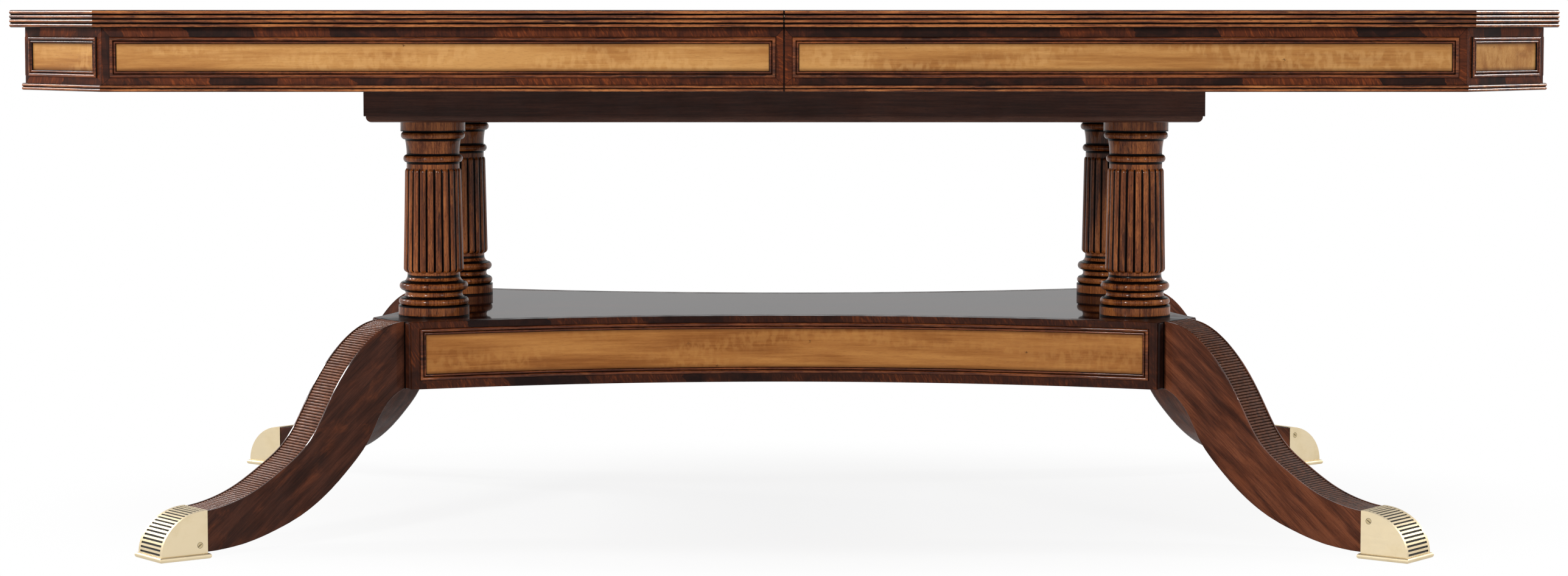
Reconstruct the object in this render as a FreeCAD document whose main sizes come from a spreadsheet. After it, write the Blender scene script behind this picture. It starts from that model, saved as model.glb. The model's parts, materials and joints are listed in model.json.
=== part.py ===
"""Extending dining table: two sliding half tops over four reeded columns on a hollow-sided platform.

Millimetres, +Z up, +X along the table and -Y its front. The origin is on the floor, under the
middle of the closed top. What is alike is drawn once at the front left and mirrored.
"""
import FreeCAD, Part
import math
import os
from types import SimpleNamespace

import Sketcher
from FreeCAD import Placement, Rotation, Vector

SIZES = {
    # Half tops
    "table_length": 2159,
    "table_width": 1200,
    "table_height": 762,
    "corner_cut": 145,
    "top_thickness": 24,
    "edging_width": 16,
    "edge_reed_depth": 2.2,
    "edge_reed_count": 4,
    "joint_gap": 0.6,
    # Apron and its panels
    "apron_setback": 20,
    "apron_thickness": 22,
    "apron_height": 87,
    "foot_bead_height": 9.5,
    "foot_bead_projection": 5,
    "foot_bead_groove": 2.2,
    "panel_border_top": 12.5,
    "panel_border_side": 10.8,
    "panel_height": 37,
    "panel_thickness": 3,
    "panel_clearance": 0.2,
    "frame_width": 9.3,
    "frame_outer_bead": 5.3,
    "frame_rise": 3.4,
    "frame_inner_rise": 2.6,
    "frame_valley": 0.9,
    # Bearer box
    "bearer_length": 1216,
    "bearer_width": 575,
    "bearer_wall": 22,
    "bearer_top_gap": 1.5,
    "bearer_height": 138,
    "bearer_lip_height": 9,
    "bearer_lip_setback": 3,
    "bearer_lip_round": 8,
    "bearer_floor_thickness": 21,
    # Slides
    "slide_travel": 460,
    "slide_clearance": 0.5,
    "guide_spacing": 300,
    "guide_width": 36,
    "guide_stop": 14,
    "runner_width": 34,
    "runner_height": 58,
    "runner_tail_gap": 124,
    "runner_reach": 430,
    "runner_relief": 1,
    "tongue_height": 12,
    "tongue_depth": 9,
    "notch_clearance": 1.5,
    "runner_screw_radius": 2.5,
    "runner_screw_head_radius": 5,
    "runner_screw_bite": 14,
    "runner_screw_grip": 30,
    "runner_screw_inset": 70,
    "runner_screw_count": 4,
    # Pins and catches at the joint
    "pin_radius": 5,
    "pin_reach": 12,
    "pin_seat": 14,
    "pin_clearance": 0.4,
    "pin_end_clearance": 1.6,
    "pin_inner_row": 300,
    "pin_outer_inset": 100,
    "catch_row_share": 0.4,
    "catch_offset": 35,
    "catch_plate_length": 44,
    "catch_plate_width": 30,
    "catch_plate_thickness": 3,
    "catch_stud_radius": 4,
    "catch_head_radius": 7,
    "catch_head_thickness": 2,
    "catch_lever_width": 22,
    "catch_lever_thickness": 4,
    "catch_lever_end": 26,
    "catch_clearance": 0.3,
    "catch_slot_clearance": 1.3,
    # Columns
    "column_end_inset": 91,
    "column_side_inset": 87.5,
    "column_tenon_radius": 20,
    "column_tenon_length": 10,
    "column_base_radius": 51.8,
    "column_base_height": 16,
    "column_ring_radius": 51.2,
    "column_ring_height": 12,
    "column_scotia_radius": 41.8,
    "column_scotia_height": 10,
    "column_upper_ring_radius": 50.3,
    "column_upper_ring_height": 13,
    "column_neck_radius": 38.6,
    "column_cove_bulge": 0.25,
    "column_foot_cove_height": 8,
    "column_neck_height": 5,
    "shaft_foot_radius": 44,
    "shaft_head_radius": 41.1,
    "shaft_reed_count": 22,
    "shaft_reed_radius": 6.3,
    "capital_neck_height": 7,
    "capital_ring_radius": 43.5,
    "capital_ring_height": 12,
    "capital_cove_height": 22,
    "capital_ovolo_radius": 46.9,
    "capital_ovolo_height": 12,
    "capital_block_radius": 47.4,
    "capital_block_height": 15.2,
    "tie_rod_radius": 6,
    "tie_rod_clearance": 0.4,
    "tie_rod_nut_radius": 11,
    "tie_rod_nut_height": 10,
    "tie_rod_overrun": 6,
    # Platform
    "platform_bottom": 215.5,
    "platform_height": 97.5,
    "platform_corner_reach_x": 20,
    "platform_corner_reach_y": 119,
    "platform_front_hollow": 109,
    "platform_end_hollow": 40,
    "platform_rail_thickness": 24,
    "platform_top_thickness": 18,
    "platform_floor_thickness": 12,
    "platform_border_top": 9.6,
    "platform_border_bottom": 12.8,
    "platform_border_side": 12,
    "post_depth": 60,
    # Legs
    "leg_angle": 38,
    "leg_width": 66,
    "leg_shoulder": 20,
    "leg_reach": 322,
    "leg_toe_underside": 9,
    "leg_rim": 3,
    "leg_rib_pitch": 4.5,
    "leg_rib_depth": 1.7,
    "leg_rib_sink": 0.4,
    "leg_bolt_radius": 5,
    "leg_bolt_clearance": 0.2,
    "leg_bolt_bite": 40,
    "leg_bolt_top_inset": 34,
    "leg_bolt_bottom_inset": 27,
    "leg_bolt_overrun": 4,
    "leg_nut_radius": 8.5,
    "leg_nut_height": 8,
    # Toe caps
    "cap_length": 72,
    "cap_rise": 60,
    "cap_width": 68,
    "cap_wall": 3,
    "cap_clearance": 0.2,
    "cap_proud": 1,
    "cap_rim": 5,
    "cap_slot_count": 17,
    "cap_slot_radius": 1.5,
    "plinth_height": 7.5,
    "plinth_lip": 4,
    "plinth_round": 3.5,
    "cap_screw_radius": 1.8,
    "cap_screw_head_radius": 4,
    "cap_screw_head_height": 1.6,
    "cap_screw_length": 14,
    "cap_screw_inset": 12,
    "cap_screw_low": 12,
    "cap_screw_high": 46,
    "cap_screw_slot": 1,
    "cap_screw_slot_turn": 35,
}

# Points of the sabre curves between root and toe, as parts of the leg's reach and of its fall.
LEG_TOP_CURVE = ((0.1, 0.03), (0.216, 0.135), (0.308, 0.272), (0.403, 0.473), (0.497, 0.668),
                 (0.553, 0.738), (0.622, 0.802), (0.776, 0.921), (0.895, 0.976))
LEG_BOTTOM_CURVE = ((0.06, 0.05), (0.125, 0.165), (0.181, 0.325), (0.286, 0.52), (0.411, 0.694),
                    (0.534, 0.817), (0.655, 0.897), (0.776, 0.956), (0.895, 0.989))

# The corners are cut at 45 degrees, so a line set in from the edge meets them on this slope.
MITRE = math.tan(math.radians(22.5))
UP = Vector(0, 0, 1)
FRONT_TO_BACK = Vector(0, 1, 0)
LEFT_TO_RIGHT = Vector(1, 0, 0)

# A cutter passes the faces that it opens by this much.
OVERCUT = 1
# A point counts as moved when it is further away than this.
TOUCH = 1e-6

doc = FreeCAD.newDocument("dining_table")
sheet = doc.addObject("Spreadsheet::Sheet", "sizes")
for row, (alias, number) in enumerate(SIZES.items(), start=1):
    sheet.set(f"A{row}", alias)
    sheet.set(f"B{row}", str(number))
    sheet.setAlias(f"B{row}", alias)
doc.recompute()


class Size:
    """A length with its present value and the sheet formula that it comes from."""

    def __init__(self, value, formula):
        self.value = value
        self.formula = formula

    def joined(self, sign, other, value):
        return Size(value, f"({self.formula} {sign} {other.formula})")

    def __add__(self, other):
        other = as_size(other)
        return self.joined("+", other, self.value + other.value)

    def __sub__(self, other):
        other = as_size(other)
        return self.joined("-", other, self.value - other.value)

    def __mul__(self, other):
        other = as_size(other)
        return self.joined("*", other, self.value * other.value)

    def __truediv__(self, other):
        other = as_size(other)
        return self.joined("/", other, self.value / other.value)

    def __neg__(self):
        return as_size(0) - self


def as_size(number):
    return number if isinstance(number, Size) else Size(number, f"({number:.9f})")


s = SimpleNamespace(**{alias: Size(float(sheet.get(alias)), f"sizes.{alias}") for alias in SIZES})
v = SimpleNamespace(**{alias: size.value for alias, size in vars(s).items()})
nodes = []

# Levels and lines that several pieces share
top_underside = s.table_height - s.top_thickness
apron_bottom = top_underside - s.apron_height
bearer_top = top_underside - s.bearer_top_gap
bearer_bottom = top_underside - s.bearer_height
bearer_floor_top = bearer_bottom + s.bearer_floor_thickness
rail_bottom = bearer_bottom + s.bearer_lip_height
guide_half = s.bearer_length / 2 - s.bearer_wall
guide_line = s.guide_spacing / 2
runner_tail = s.table_length / 2 - s.runner_tail_gap
apron_inside = s.table_width / 2 - s.apron_setback - s.apron_thickness
catch_row = s.bearer_width / 2 + (apron_inside - s.bearer_width / 2) * s.catch_row_share
pin_rows = (s.pin_inner_row, s.table_width / 2 - s.pin_outer_inset)
column_x = s.bearer_length / 2 - s.column_end_inset
column_y = s.bearer_width / 2 - s.column_side_inset
platform_top = s.platform_bottom + s.platform_height
leg_line = Vector(-math.cos(math.radians(v.leg_angle)), -math.sin(math.radians(v.leg_angle)), 0)
corner_line = Vector(leg_line.y, -leg_line.x, 0)
corner_x = column_x.value + v.platform_corner_reach_x
corner_y = column_y.value + v.platform_corner_reach_y
front_corner = Vector(-corner_x, -corner_y, 0)
end_corner = front_corner + corner_line * (v.leg_width + 2 * v.leg_shoulder)
leg_root = (front_corner + end_corner) * 0.5
leg_place = Placement(leg_root, Rotation(UP, 180 + v.leg_angle))


def keep(item):
    """Note an object as one of the table's nodes; its label names its file."""
    nodes.append(item)
    return item


def place(item, x, y, z):
    for axis, length in zip("xyz", (x, y, z)):
        item.setExpression(f"Placement.Base.{axis}", as_size(length).formula)


def block(label, low, high, turn=0, middle=(0, 0)):
    """A box between two corners; with a turn about Z the corners are in the turned frame."""
    box = doc.addObject("Part::Box", label)
    for side, start, stop in zip(("Length", "Width", "Height"), low, high):
        box.setExpression(side, (as_size(stop) - start).formula)
    across = round(math.cos(math.radians(turn)), 9)
    along = round(math.sin(math.radians(turn)), 9)
    x, y, z = (as_size(length) for length in low)
    box.Placement = Placement(Vector(), Rotation(UP, turn))
    place(box, x * across - y * along + middle[0], x * along + y * across + middle[1], z)
    return box


def rod(label, x, y, z, radius, length, axis=UP):
    """A cylinder from a start point along an axis."""
    cylinder = doc.addObject("Part::Cylinder", label)
    cylinder.setExpression("Radius", as_size(radius).formula)
    cylinder.setExpression("Height", as_size(length).formula)
    cylinder.Placement = Placement(Vector(), Rotation(UP, axis))
    place(cylinder, x, y, z)
    return cylinder


def plate(label, outline, bottom, height):
    """A board sawn to a plan outline: a sketch of straight edges, padded upwards."""
    body = doc.addObject("PartDesign::Body", label)
    sketch = body.newObject("Sketcher::SketchObject", label + "_outline")
    ground = next(plane for plane in body.Origin.OriginFeatures if plane.Role == "XY_Plane")
    sketch.AttachmentSupport = (ground, [""])
    sketch.MapMode = "FlatFace"
    corners = [(as_size(x), as_size(y)) for x, y in outline]
    points = [Vector(x.value, y.value, 0) for x, y in corners]
    count = len(points)
    for index in range(count):
        sketch.addGeometry(Part.LineSegment(points[index], points[(index + 1) % count]))
    for index in range(count):
        sketch.addConstraint(Sketcher.Constraint("Coincident", index, 2, (index + 1) % count, 1))
    for index, corner in enumerate(corners):
        for kind, length in zip(("DistanceX", "DistanceY"), corner):
            number = sketch.addConstraint(Sketcher.Constraint(kind, -1, 1, index, 1, length.value))
            sketch.setExpression(f"Constraints[{number}]", length.formula)
    pad = body.newObject("PartDesign::Pad", label + "_pad")
    pad.Profile = sketch
    pad.setExpression("Length", as_size(height).formula)
    place(body, 0, 0, bottom)
    return body


def group(label, items):
    compound = doc.addObject("Part::Compound", label)
    compound.Links = items
    return compound


def joined(label, items):
    fusion = doc.addObject("Part::MultiFuse", label)
    fusion.Shapes = items
    return fusion


def cut(label, base, tools):
    tool = tools[0] if len(tools) == 1 else group(label + "_cutters", tools)
    difference = doc.addObject("Part::Cut", label)
    difference.Base = base
    difference.Tool = tool
    return difference


def mirrored(label, source, normal):
    copy = doc.addObject("Part::Mirroring", label)
    copy.Source = source
    copy.Base = Vector(0, 0, 0)
    copy.Normal = normal
    return copy


def shaped(label, shape, placement=Placement()):
    """A piece whose shape is drawn in code from the sheet's sizes."""
    item = doc.addObject("Part::Feature", label)
    item.Shape = shape
    item.Placement = placement
    return item


def at_corners(label, source):
    """A piece from the front left, with its three mirror images."""
    back = mirrored(label + "_at_back", source, FRONT_TO_BACK)
    right = mirrored(label + "_at_right", source, LEFT_TO_RIGHT)
    across = mirrored(label + "_across", back, LEFT_TO_RIGHT)
    return [source, back, right, across]


def keep_at_corners(name, source):
    """Four nodes of one piece, the first drawn at the front left."""
    back = keep(mirrored(f"{name}_back_left", source, FRONT_TO_BACK))
    keep(mirrored(f"{name}_front_right", source, LEFT_TO_RIGHT))
    keep(mirrored(f"{name}_back_right", back, LEFT_TO_RIGHT))


def polygon_prism(points, bottom, height):
    """An upright prism over plan points."""
    corners = [Vector(point.x, point.y, bottom) for point in points]
    return Part.Face(Part.makePolygon(corners + corners[:1])).extrude(Vector(0, 0, height))


def half_space(point, normal, reach):
    """A large block on one side of a plane, for trimming ends."""
    slab = Part.makeBox(2 * reach, 2 * reach, reach, Vector(-reach, -reach, 0))
    slab.Placement = Placement(point, Rotation(UP, normal))
    return slab


def half_outline(inset):
    """Plan corners of the left half, set in evenly from the edge of the top."""
    joint = -s.joint_gap / 2
    front = as_size(inset) - s.table_width / 2
    end = as_size(inset) - s.table_length / 2
    cant_x = s.corner_cut + as_size(inset) * MITRE - s.table_length / 2
    cant_y = s.corner_cut + as_size(inset) * MITRE - s.table_width / 2
    front_half = [(joint, front), (cant_x, front), (end, cant_y)]
    return front_half + [(x, -y) for x, y in reversed(front_half)]


def run_outline(index, outer_inset, inner_inset):
    """Plan of one mitred run along the edge: 0 is the front, 1 the cut corner and 2 the end."""
    outer = half_outline(outer_inset)
    inner = half_outline(inner_inset)
    return [outer[index], outer[index + 1], inner[index + 1], inner[index]]


def run_face(index, inset):
    """Middle, turn and length of a run's outer face."""
    start, stop = half_outline(inset)[index:index + 2]
    middle = ((start[0] + stop[0]) / 2, (start[1] + stop[1]) / 2)
    length = ((start[0] - stop[0]), (start[0] - stop[0]) * math.sqrt(2), stop[1] - start[1])[index]
    return SimpleNamespace(middle=middle, turn=-45 * index, length=length)


def moulding_run(profile, index, outer_inset, inner_inset, bottom, height):
    """A straight run of an edge moulding, its profile drawn in from the outer line, with mitred ends."""
    face = run_face(index, outer_inset)
    reach = face.length.value
    drawn = Part.Face(profile).extrude(Vector(2 * reach, 0, 0))
    middle = Vector(face.middle[0].value, face.middle[1].value, 0)
    drawn.translate(Vector(-reach, 0, 0))
    drawn.Placement = Placement(middle, Rotation(UP, face.turn)) * drawn.Placement
    plan = [Vector(x.value, y.value, 0) for x, y in run_outline(index, outer_inset, inner_inset)]
    return drawn.common(polygon_prism(plan, bottom, height))


def reeded_profile(depth, bottom, height, count, groove):
    """Stacked half-round reeds on a flat back, in the YZ plane with the outside at Y 0."""
    pitch = height / count
    cusps = [Vector(0, groove, bottom + index * pitch) for index in range(count + 1)]
    edges = []
    for cusp, after in zip(cusps, cusps[1:]):
        edges.append(Part.Arc(cusp, Vector(0, 0, cusp.z + pitch / 2), after))
    corners = [cusps[-1], Vector(0, depth, bottom + height), Vector(0, depth, bottom), cusps[0]]
    edges += [Part.LineSegment(start, stop) for start, stop in zip(corners, corners[1:])]
    return Part.Wire([edge.toShape() for edge in edges])


def edge_runs(label, profile, outer_inset, inner_inset, bottom, height):
    """The five mitred runs of a moulding round the left half, as separate solids."""
    runs = []
    for index, side in enumerate(("front", "corner", "end")):
        shape = moulding_run(profile, index, outer_inset, inner_inset, bottom, height)
        runs.append(shaped(f"{label}_{side}", shape))
    runs += [mirrored(f"{run.Label}_mirrored", run, FRONT_TO_BACK) for run in runs[:2]]
    return group(label, runs)


def bead_profile(point):
    """The double bead of a panel frame; point places (distance from the outer edge, rise) in space."""
    middle = v.frame_outer_bead
    half = (middle + v.frame_width) / 2
    outside, valley, inside = point(0, 0), point(middle, v.frame_valley), point(v.frame_width, 0)
    outer = Part.Arc(outside, point(middle / 2, v.frame_rise), valley)
    inner = Part.Arc(valley, point(half, v.frame_inner_rise), inside)
    back = Part.LineSegment(inside, outside)
    return Part.Face(Part.Wire([outer.toShape(), inner.toShape(), back.toShape()]))


def mitre_cuts(solid, corners):
    """Trim a strip's ends; each corner gives its point and the plane's normal away from the strip."""
    reach = 4 * v.frame_width
    for point, normal in corners:
        solid = solid.cut(half_space(point, normal, reach))
    return solid


def flat_frame(length, height):
    """Four mitred bead strips round a flat panel, standing on the XZ plane and facing -Y."""
    half, rise = length / 2, height / 2
    low = bead_profile(lambda across, out: Vector(-half, -out, across - rise))
    low = low.extrude(Vector(length, 0, 0))
    side = bead_profile(lambda across, out: Vector(across - half, -out, -rise))
    side = side.extrude(Vector(0, 0, height))
    left, right = Vector(-half, 0, -rise), Vector(half, 0, -rise)
    low = mitre_cuts(low, ((left, Vector(-1, 0, 1)), (right, Vector(1, 0, 1))))
    upper_left = Vector(-half, 0, rise)
    side = mitre_cuts(side, ((left, Vector(1, 0, -1)), (upper_left, Vector(1, 0, 1))))
    return [low, low.mirror(Vector(), UP), side, side.mirror(Vector(), LEFT_TO_RIGHT)]


def hollow_frame(curve, half_turn, low, high):
    """Four mitred bead strips round a panel on a hollow side, facing -Y.

    A long strip has a middle with square ends, whose faces mesh evenly, and two short mitred tails.
    """
    section = bead_profile(lambda across, out: curve.point(0, low + across, -out))

    def bent(turn, sweep):
        """The section swept round the hollow, to the right from a turn to the left."""
        drawn = section.copy()
        drawn.rotate(curve.centre, UP, math.degrees(turn))
        return drawn.revolve(curve.centre, UP, -math.degrees(sweep))

    middle = (low + high) / 2
    start = curve.point(-half_turn, low)
    tangent = Vector(math.cos(half_turn), math.sin(half_turn), 0)
    outward = Vector(math.sin(half_turn), -math.cos(half_turn), 0)
    tail_turn = 2 * v.frame_width / curve.radius
    tail = mitre_cuts(bent(half_turn, tail_turn), ((start, UP - tangent),))
    square = half_turn - tail_turn
    strip = bent(square, 2 * square).fuse([tail, tail.mirror(Vector(), LEFT_TO_RIGHT)])
    side = bead_profile(lambda across, out: start + tangent * across + outward * out)
    side = side.extrude(Vector(0, 0, high - low))
    side = side.common(Part.makeCylinder(curve.radius, high - low, curve.centre + UP * low))
    upper = curve.point(-half_turn, high)
    side = mitre_cuts(side, ((start, tangent - UP), (upper, tangent + UP)))
    return [strip, strip.mirror(Vector(0, 0, middle), UP), side, side.mirror(Vector(), LEFT_TO_RIGHT)]


def hollow_curve(half_chord, corner, hollow):
    """The concave arc of a platform side that faces -Y, with points given by turn and height."""
    radius = (half_chord ** 2 + hollow ** 2) / (2 * hollow)
    centre = Vector(0, hollow - corner - radius, 0)

    def point(turn, height, depth=0):
        reach = radius + depth
        return Vector(reach * math.sin(turn), centre.y + reach * math.cos(turn), height)

    half_turn = math.asin(half_chord / radius)
    return SimpleNamespace(radius=radius, centre=centre, point=point, half_turn=half_turn)


def hollow_slab(curve, half_turn, depth, low, high):
    """A curved slab let into a hollow side, its face flush with it."""
    corners = [curve.point(half_turn, low), curve.point(half_turn, low, depth)]
    corners += [curve.point(half_turn, high, depth), curve.point(half_turn, high)]
    face = Part.Face(Part.makePolygon(corners + corners[:1]))
    return face.revolve(curve.centre, UP, 2 * math.degrees(half_turn))


def make_panelled_rail(name, index, label):
    """An apron rail with a panel let into its face, and the panel's frame."""
    rail = plate(f"{name}_blank", run_outline(index, s.apron_setback, s.apron_setback + s.apron_thickness),
                 apron_bottom, s.apron_height)
    face = run_face(index, s.apron_setback)
    frame_top = top_underside - s.panel_border_top
    high = frame_top - s.frame_width / 2
    low = high - s.panel_height - s.frame_width
    half = face.length / 2 - s.panel_border_side - s.frame_width / 2
    gap = s.panel_clearance
    pocket = block(f"{name}_pocket", (-(half + gap), -gap, low - gap),
                   (half + gap, s.panel_thickness, high + gap), face.turn, face.middle)
    panel = block(f"{name}_panel", (-half, 0, low), (half, s.panel_thickness, high),
                  face.turn, face.middle)
    frame_length = (face.length - s.panel_border_side * 2).value
    frame_height = v.panel_height + 2 * v.frame_width
    centre = Vector(face.middle[0].value, face.middle[1].value, frame_top.value - frame_height / 2)
    strips = Part.makeCompound(flat_frame(frame_length, frame_height))
    frame = shaped(f"{name}_bead", strips, Placement(centre, Rotation(UP, face.turn)))
    return cut(label, rail, [pocket]), panel, frame


def make_runner(half, side):
    """The front slide runner of one half: side is -1 where it runs outside its guide, 1 inside."""
    name = f"runner_{half}"
    way = -1 if half == "left" else 1
    near = -guide_line + (s.guide_width / 2 + s.slide_clearance) * side
    far = near + s.runner_width * side
    tip = -guide_line + (s.guide_width / 2 - s.tongue_depth) * side
    bottom = top_underside - s.runner_height
    middle = bottom + s.runner_height / 2
    outer = runner_tail * way
    inner = s.runner_reach * -way
    stop = (guide_half - s.guide_stop - s.slide_travel - s.slide_clearance) * way
    x_low, x_high = (outer, inner) if way < 0 else (inner, outer)
    y_low, y_high = (far, near) if side < 0 else (near, far)
    bar = block(f"{name}_bar", (x_low, y_low, bottom), (x_high, y_high, top_underside))
    t_low, t_high = (stop, inner) if way < 0 else (inner, stop)
    u_low, u_high = (near, tip) if side < 0 else (tip, near)
    tongue = block(f"{name}_tongue", (t_low, u_low, middle - s.tongue_height / 2),
                   (t_high, u_high, middle + s.tongue_height / 2))
    blank = joined(f"{name}_blank", [bar, tongue])
    r_low, r_high = (0, inner) if way < 0 else (inner, 0)
    relief = block(f"{name}_relief", (r_low, y_low, top_underside - s.runner_relief),
                   (r_high, y_high, top_underside))
    head_bottom = top_underside - s.runner_screw_grip
    line = (near + far) / 2
    spacing = (runner_tail - s.runner_screw_inset * 2) / (v.runner_screw_count - 1)
    shank = s.runner_screw_grip + s.runner_screw_bite
    head_radius, stem_radius = s.runner_screw_head_radius, s.runner_screw_radius
    head_low = head_bottom - stem_radius
    holes, screws, pilots = [relief], [], []
    for index in range(int(v.runner_screw_count)):
        x = (runner_tail - s.runner_screw_inset - spacing * index) * way
        holes.append(rod(f"{name}_bore_{index}", x, line, bottom, head_radius + s.slide_clearance,
                         s.runner_height - s.runner_screw_grip))
        holes.append(rod(f"{name}_hole_{index}", x, line, bottom, stem_radius, s.runner_height))
        pilots.append(rod(f"{name}_pilot_{index}", x, line, top_underside, stem_radius,
                          s.runner_screw_bite))
        head = rod(f"{name}_screw_head_{index}", x, line, head_low, head_radius, stem_radius)
        stem = rod(f"{name}_screw_stem_{index}", x, line, head_low, stem_radius, shank + stem_radius)
        screws.append(joined(f"{name}_screw_{index}", [head, stem]))
    notch = block(f"{name}_notch", (x_low, y_low - s.notch_clearance, bottom - s.notch_clearance),
                  (x_high, y_high + s.notch_clearance, s.table_height))
    runner = cut(f"{name}_front", blank, holes)
    return SimpleNamespace(runner=runner, screws=screws, pilots=pilots, notch=notch)


def both_sides(items):
    """Front pieces with their mirror images at the back."""
    return items + [mirrored(f"{item.Name}_at_back", item, FRONT_TO_BACK) for item in items]


def make_stud_plate(name, side):
    """A plate under the top with a headed stud, at the front of the joint."""
    x = s.catch_offset * side
    plate_bottom = top_underside - s.catch_plate_thickness
    half_length, half_width = s.catch_plate_length / 2, s.catch_plate_width / 2
    base = block(f"{name}_base", (x - half_length, -catch_row - half_width, plate_bottom),
                 (x + half_length, -catch_row + half_width, top_underside))
    stud_length = s.catch_lever_thickness + s.catch_clearance * 2
    stud_bottom = plate_bottom - stud_length
    stud = rod(f"{name}_stud", x, -catch_row, stud_bottom, s.catch_stud_radius, stud_length)
    head = rod(f"{name}_head", x, -catch_row, stud_bottom - s.catch_head_thickness,
               s.catch_head_radius, s.catch_head_thickness)
    return joined(f"{name}_front", [base, stud, head])


def make_catch_lever():
    """The front lever, drawn swung open towards the front; its hook opens on the leading side."""
    high = top_underside - s.catch_plate_thickness - s.catch_clearance
    low = high - s.catch_lever_thickness
    half = s.catch_lever_width / 2
    span = s.catch_offset * 2
    x, y = -s.catch_offset, -catch_row
    bar = block("catch_lever_bar", (x - half, y - span - s.catch_lever_end, low), (x + half, y, high))
    boss = rod("catch_lever_boss", x, y, low, half, s.catch_lever_thickness)
    slot_half = s.catch_stud_radius + s.catch_slot_clearance
    slot = block("catch_lever_slot", (x - slot_half, y - span - slot_half, low - OVERCUT),
                 (x + half + OVERCUT, y - span + slot_half, high + OVERCUT))
    hole = rod("catch_lever_hole", x, y, low - OVERCUT, s.catch_stud_radius + s.catch_clearance,
               s.catch_lever_thickness + 2 * OVERCUT)
    return cut("catch_lever_front", joined("catch_lever_blank", [bar, boss]), [slot, hole])


def make_half_tops():
    """Boards, edging and aprons of both halves, with their runners and joint fittings."""
    edging = edge_runs("top_edging_left",
                       reeded_profile(v.edging_width, top_underside.value, v.top_thickness,
                                      int(v.edge_reed_count), v.edge_reed_depth),
                       0, s.edging_width, top_underside.value, v.top_thickness)
    foot_beads = edge_runs("apron_foot_beads_left",
                           reeded_profile(v.foot_bead_projection, apron_bottom.value, v.foot_bead_height, 2,
                                          v.foot_bead_groove),
                           s.apron_setback - s.foot_bead_projection, s.apron_setback,
                           apron_bottom.value, v.foot_bead_height)
    front, front_panel, front_frame = make_panelled_rail("apron_front", 0, "apron_front_left")
    corner, corner_panel, corner_frame = make_panelled_rail("apron_corner", 1, "apron_corner_left")
    end, end_panel, end_frame = make_panelled_rail("apron_end", 2, "apron_end_left")
    back = mirrored("apron_back_left", front, FRONT_TO_BACK)
    corners = group("apron_corners_left", both_sides([corner]))
    panels = group("apron_panels_left", both_sides([front_panel, corner_panel]) + [end_panel])
    frames = group("apron_panel_beads_left", both_sides([front_frame, corner_frame]) + [end_frame])
    for item in (edging, front, back, end, corners, panels, frames, foot_beads):
        keep(item)
        keep(mirrored(item.Label.replace("left", "right"), item, LEFT_TO_RIGHT))

    pin_level = s.table_height - s.top_thickness / 2
    socket_depth = s.pin_reach + s.pin_end_clearance
    pins, seats, sockets = [], [], []
    for index, row in enumerate(pin_rows):
        pins.append(rod(f"pin_{index}", -s.pin_reach, -row, pin_level, s.pin_radius,
                        s.pin_reach + s.pin_seat, LEFT_TO_RIGHT))
        seats.append(rod(f"pin_seat_{index}", 0, -row, pin_level, s.pin_radius, s.pin_seat,
                         LEFT_TO_RIGHT))
        sockets.append(rod(f"pin_socket_{index}", -socket_depth, -row, pin_level,
                           s.pin_radius + s.pin_clearance, socket_depth, LEFT_TO_RIGHT))
    keep(group("alignment_pins", both_sides(pins)))

    runners = {"left": make_runner("left", -1), "right": make_runner("right", 1)}
    board_outline = half_outline(s.edging_width)
    mirror_outline = [(-x, y) for x, y in board_outline]
    halves = (("left", board_outline, sockets), ("right", mirror_outline, seats))
    for half, outline, bores in halves:
        made = runners[half]
        blank = plate(f"top_board_{half}_blank", outline, top_underside, s.top_thickness)
        keep(cut(f"top_board_{half}", blank, both_sides(made.pilots + bores)))
        keep(group(f"slide_runners_{half}", both_sides([made.runner])))
        keep(group(f"runner_screws_{half}", both_sides(made.screws)))

    keep(group("catch_plates", both_sides([make_stud_plate("catch_plate", -1)])))
    keep(group("catch_keepers", both_sides([make_stud_plate("catch_keeper", 1)])))
    lever = keep(make_catch_lever())
    keep(mirrored("catch_lever_back", lever, FRONT_TO_BACK))
    return runners


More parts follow.
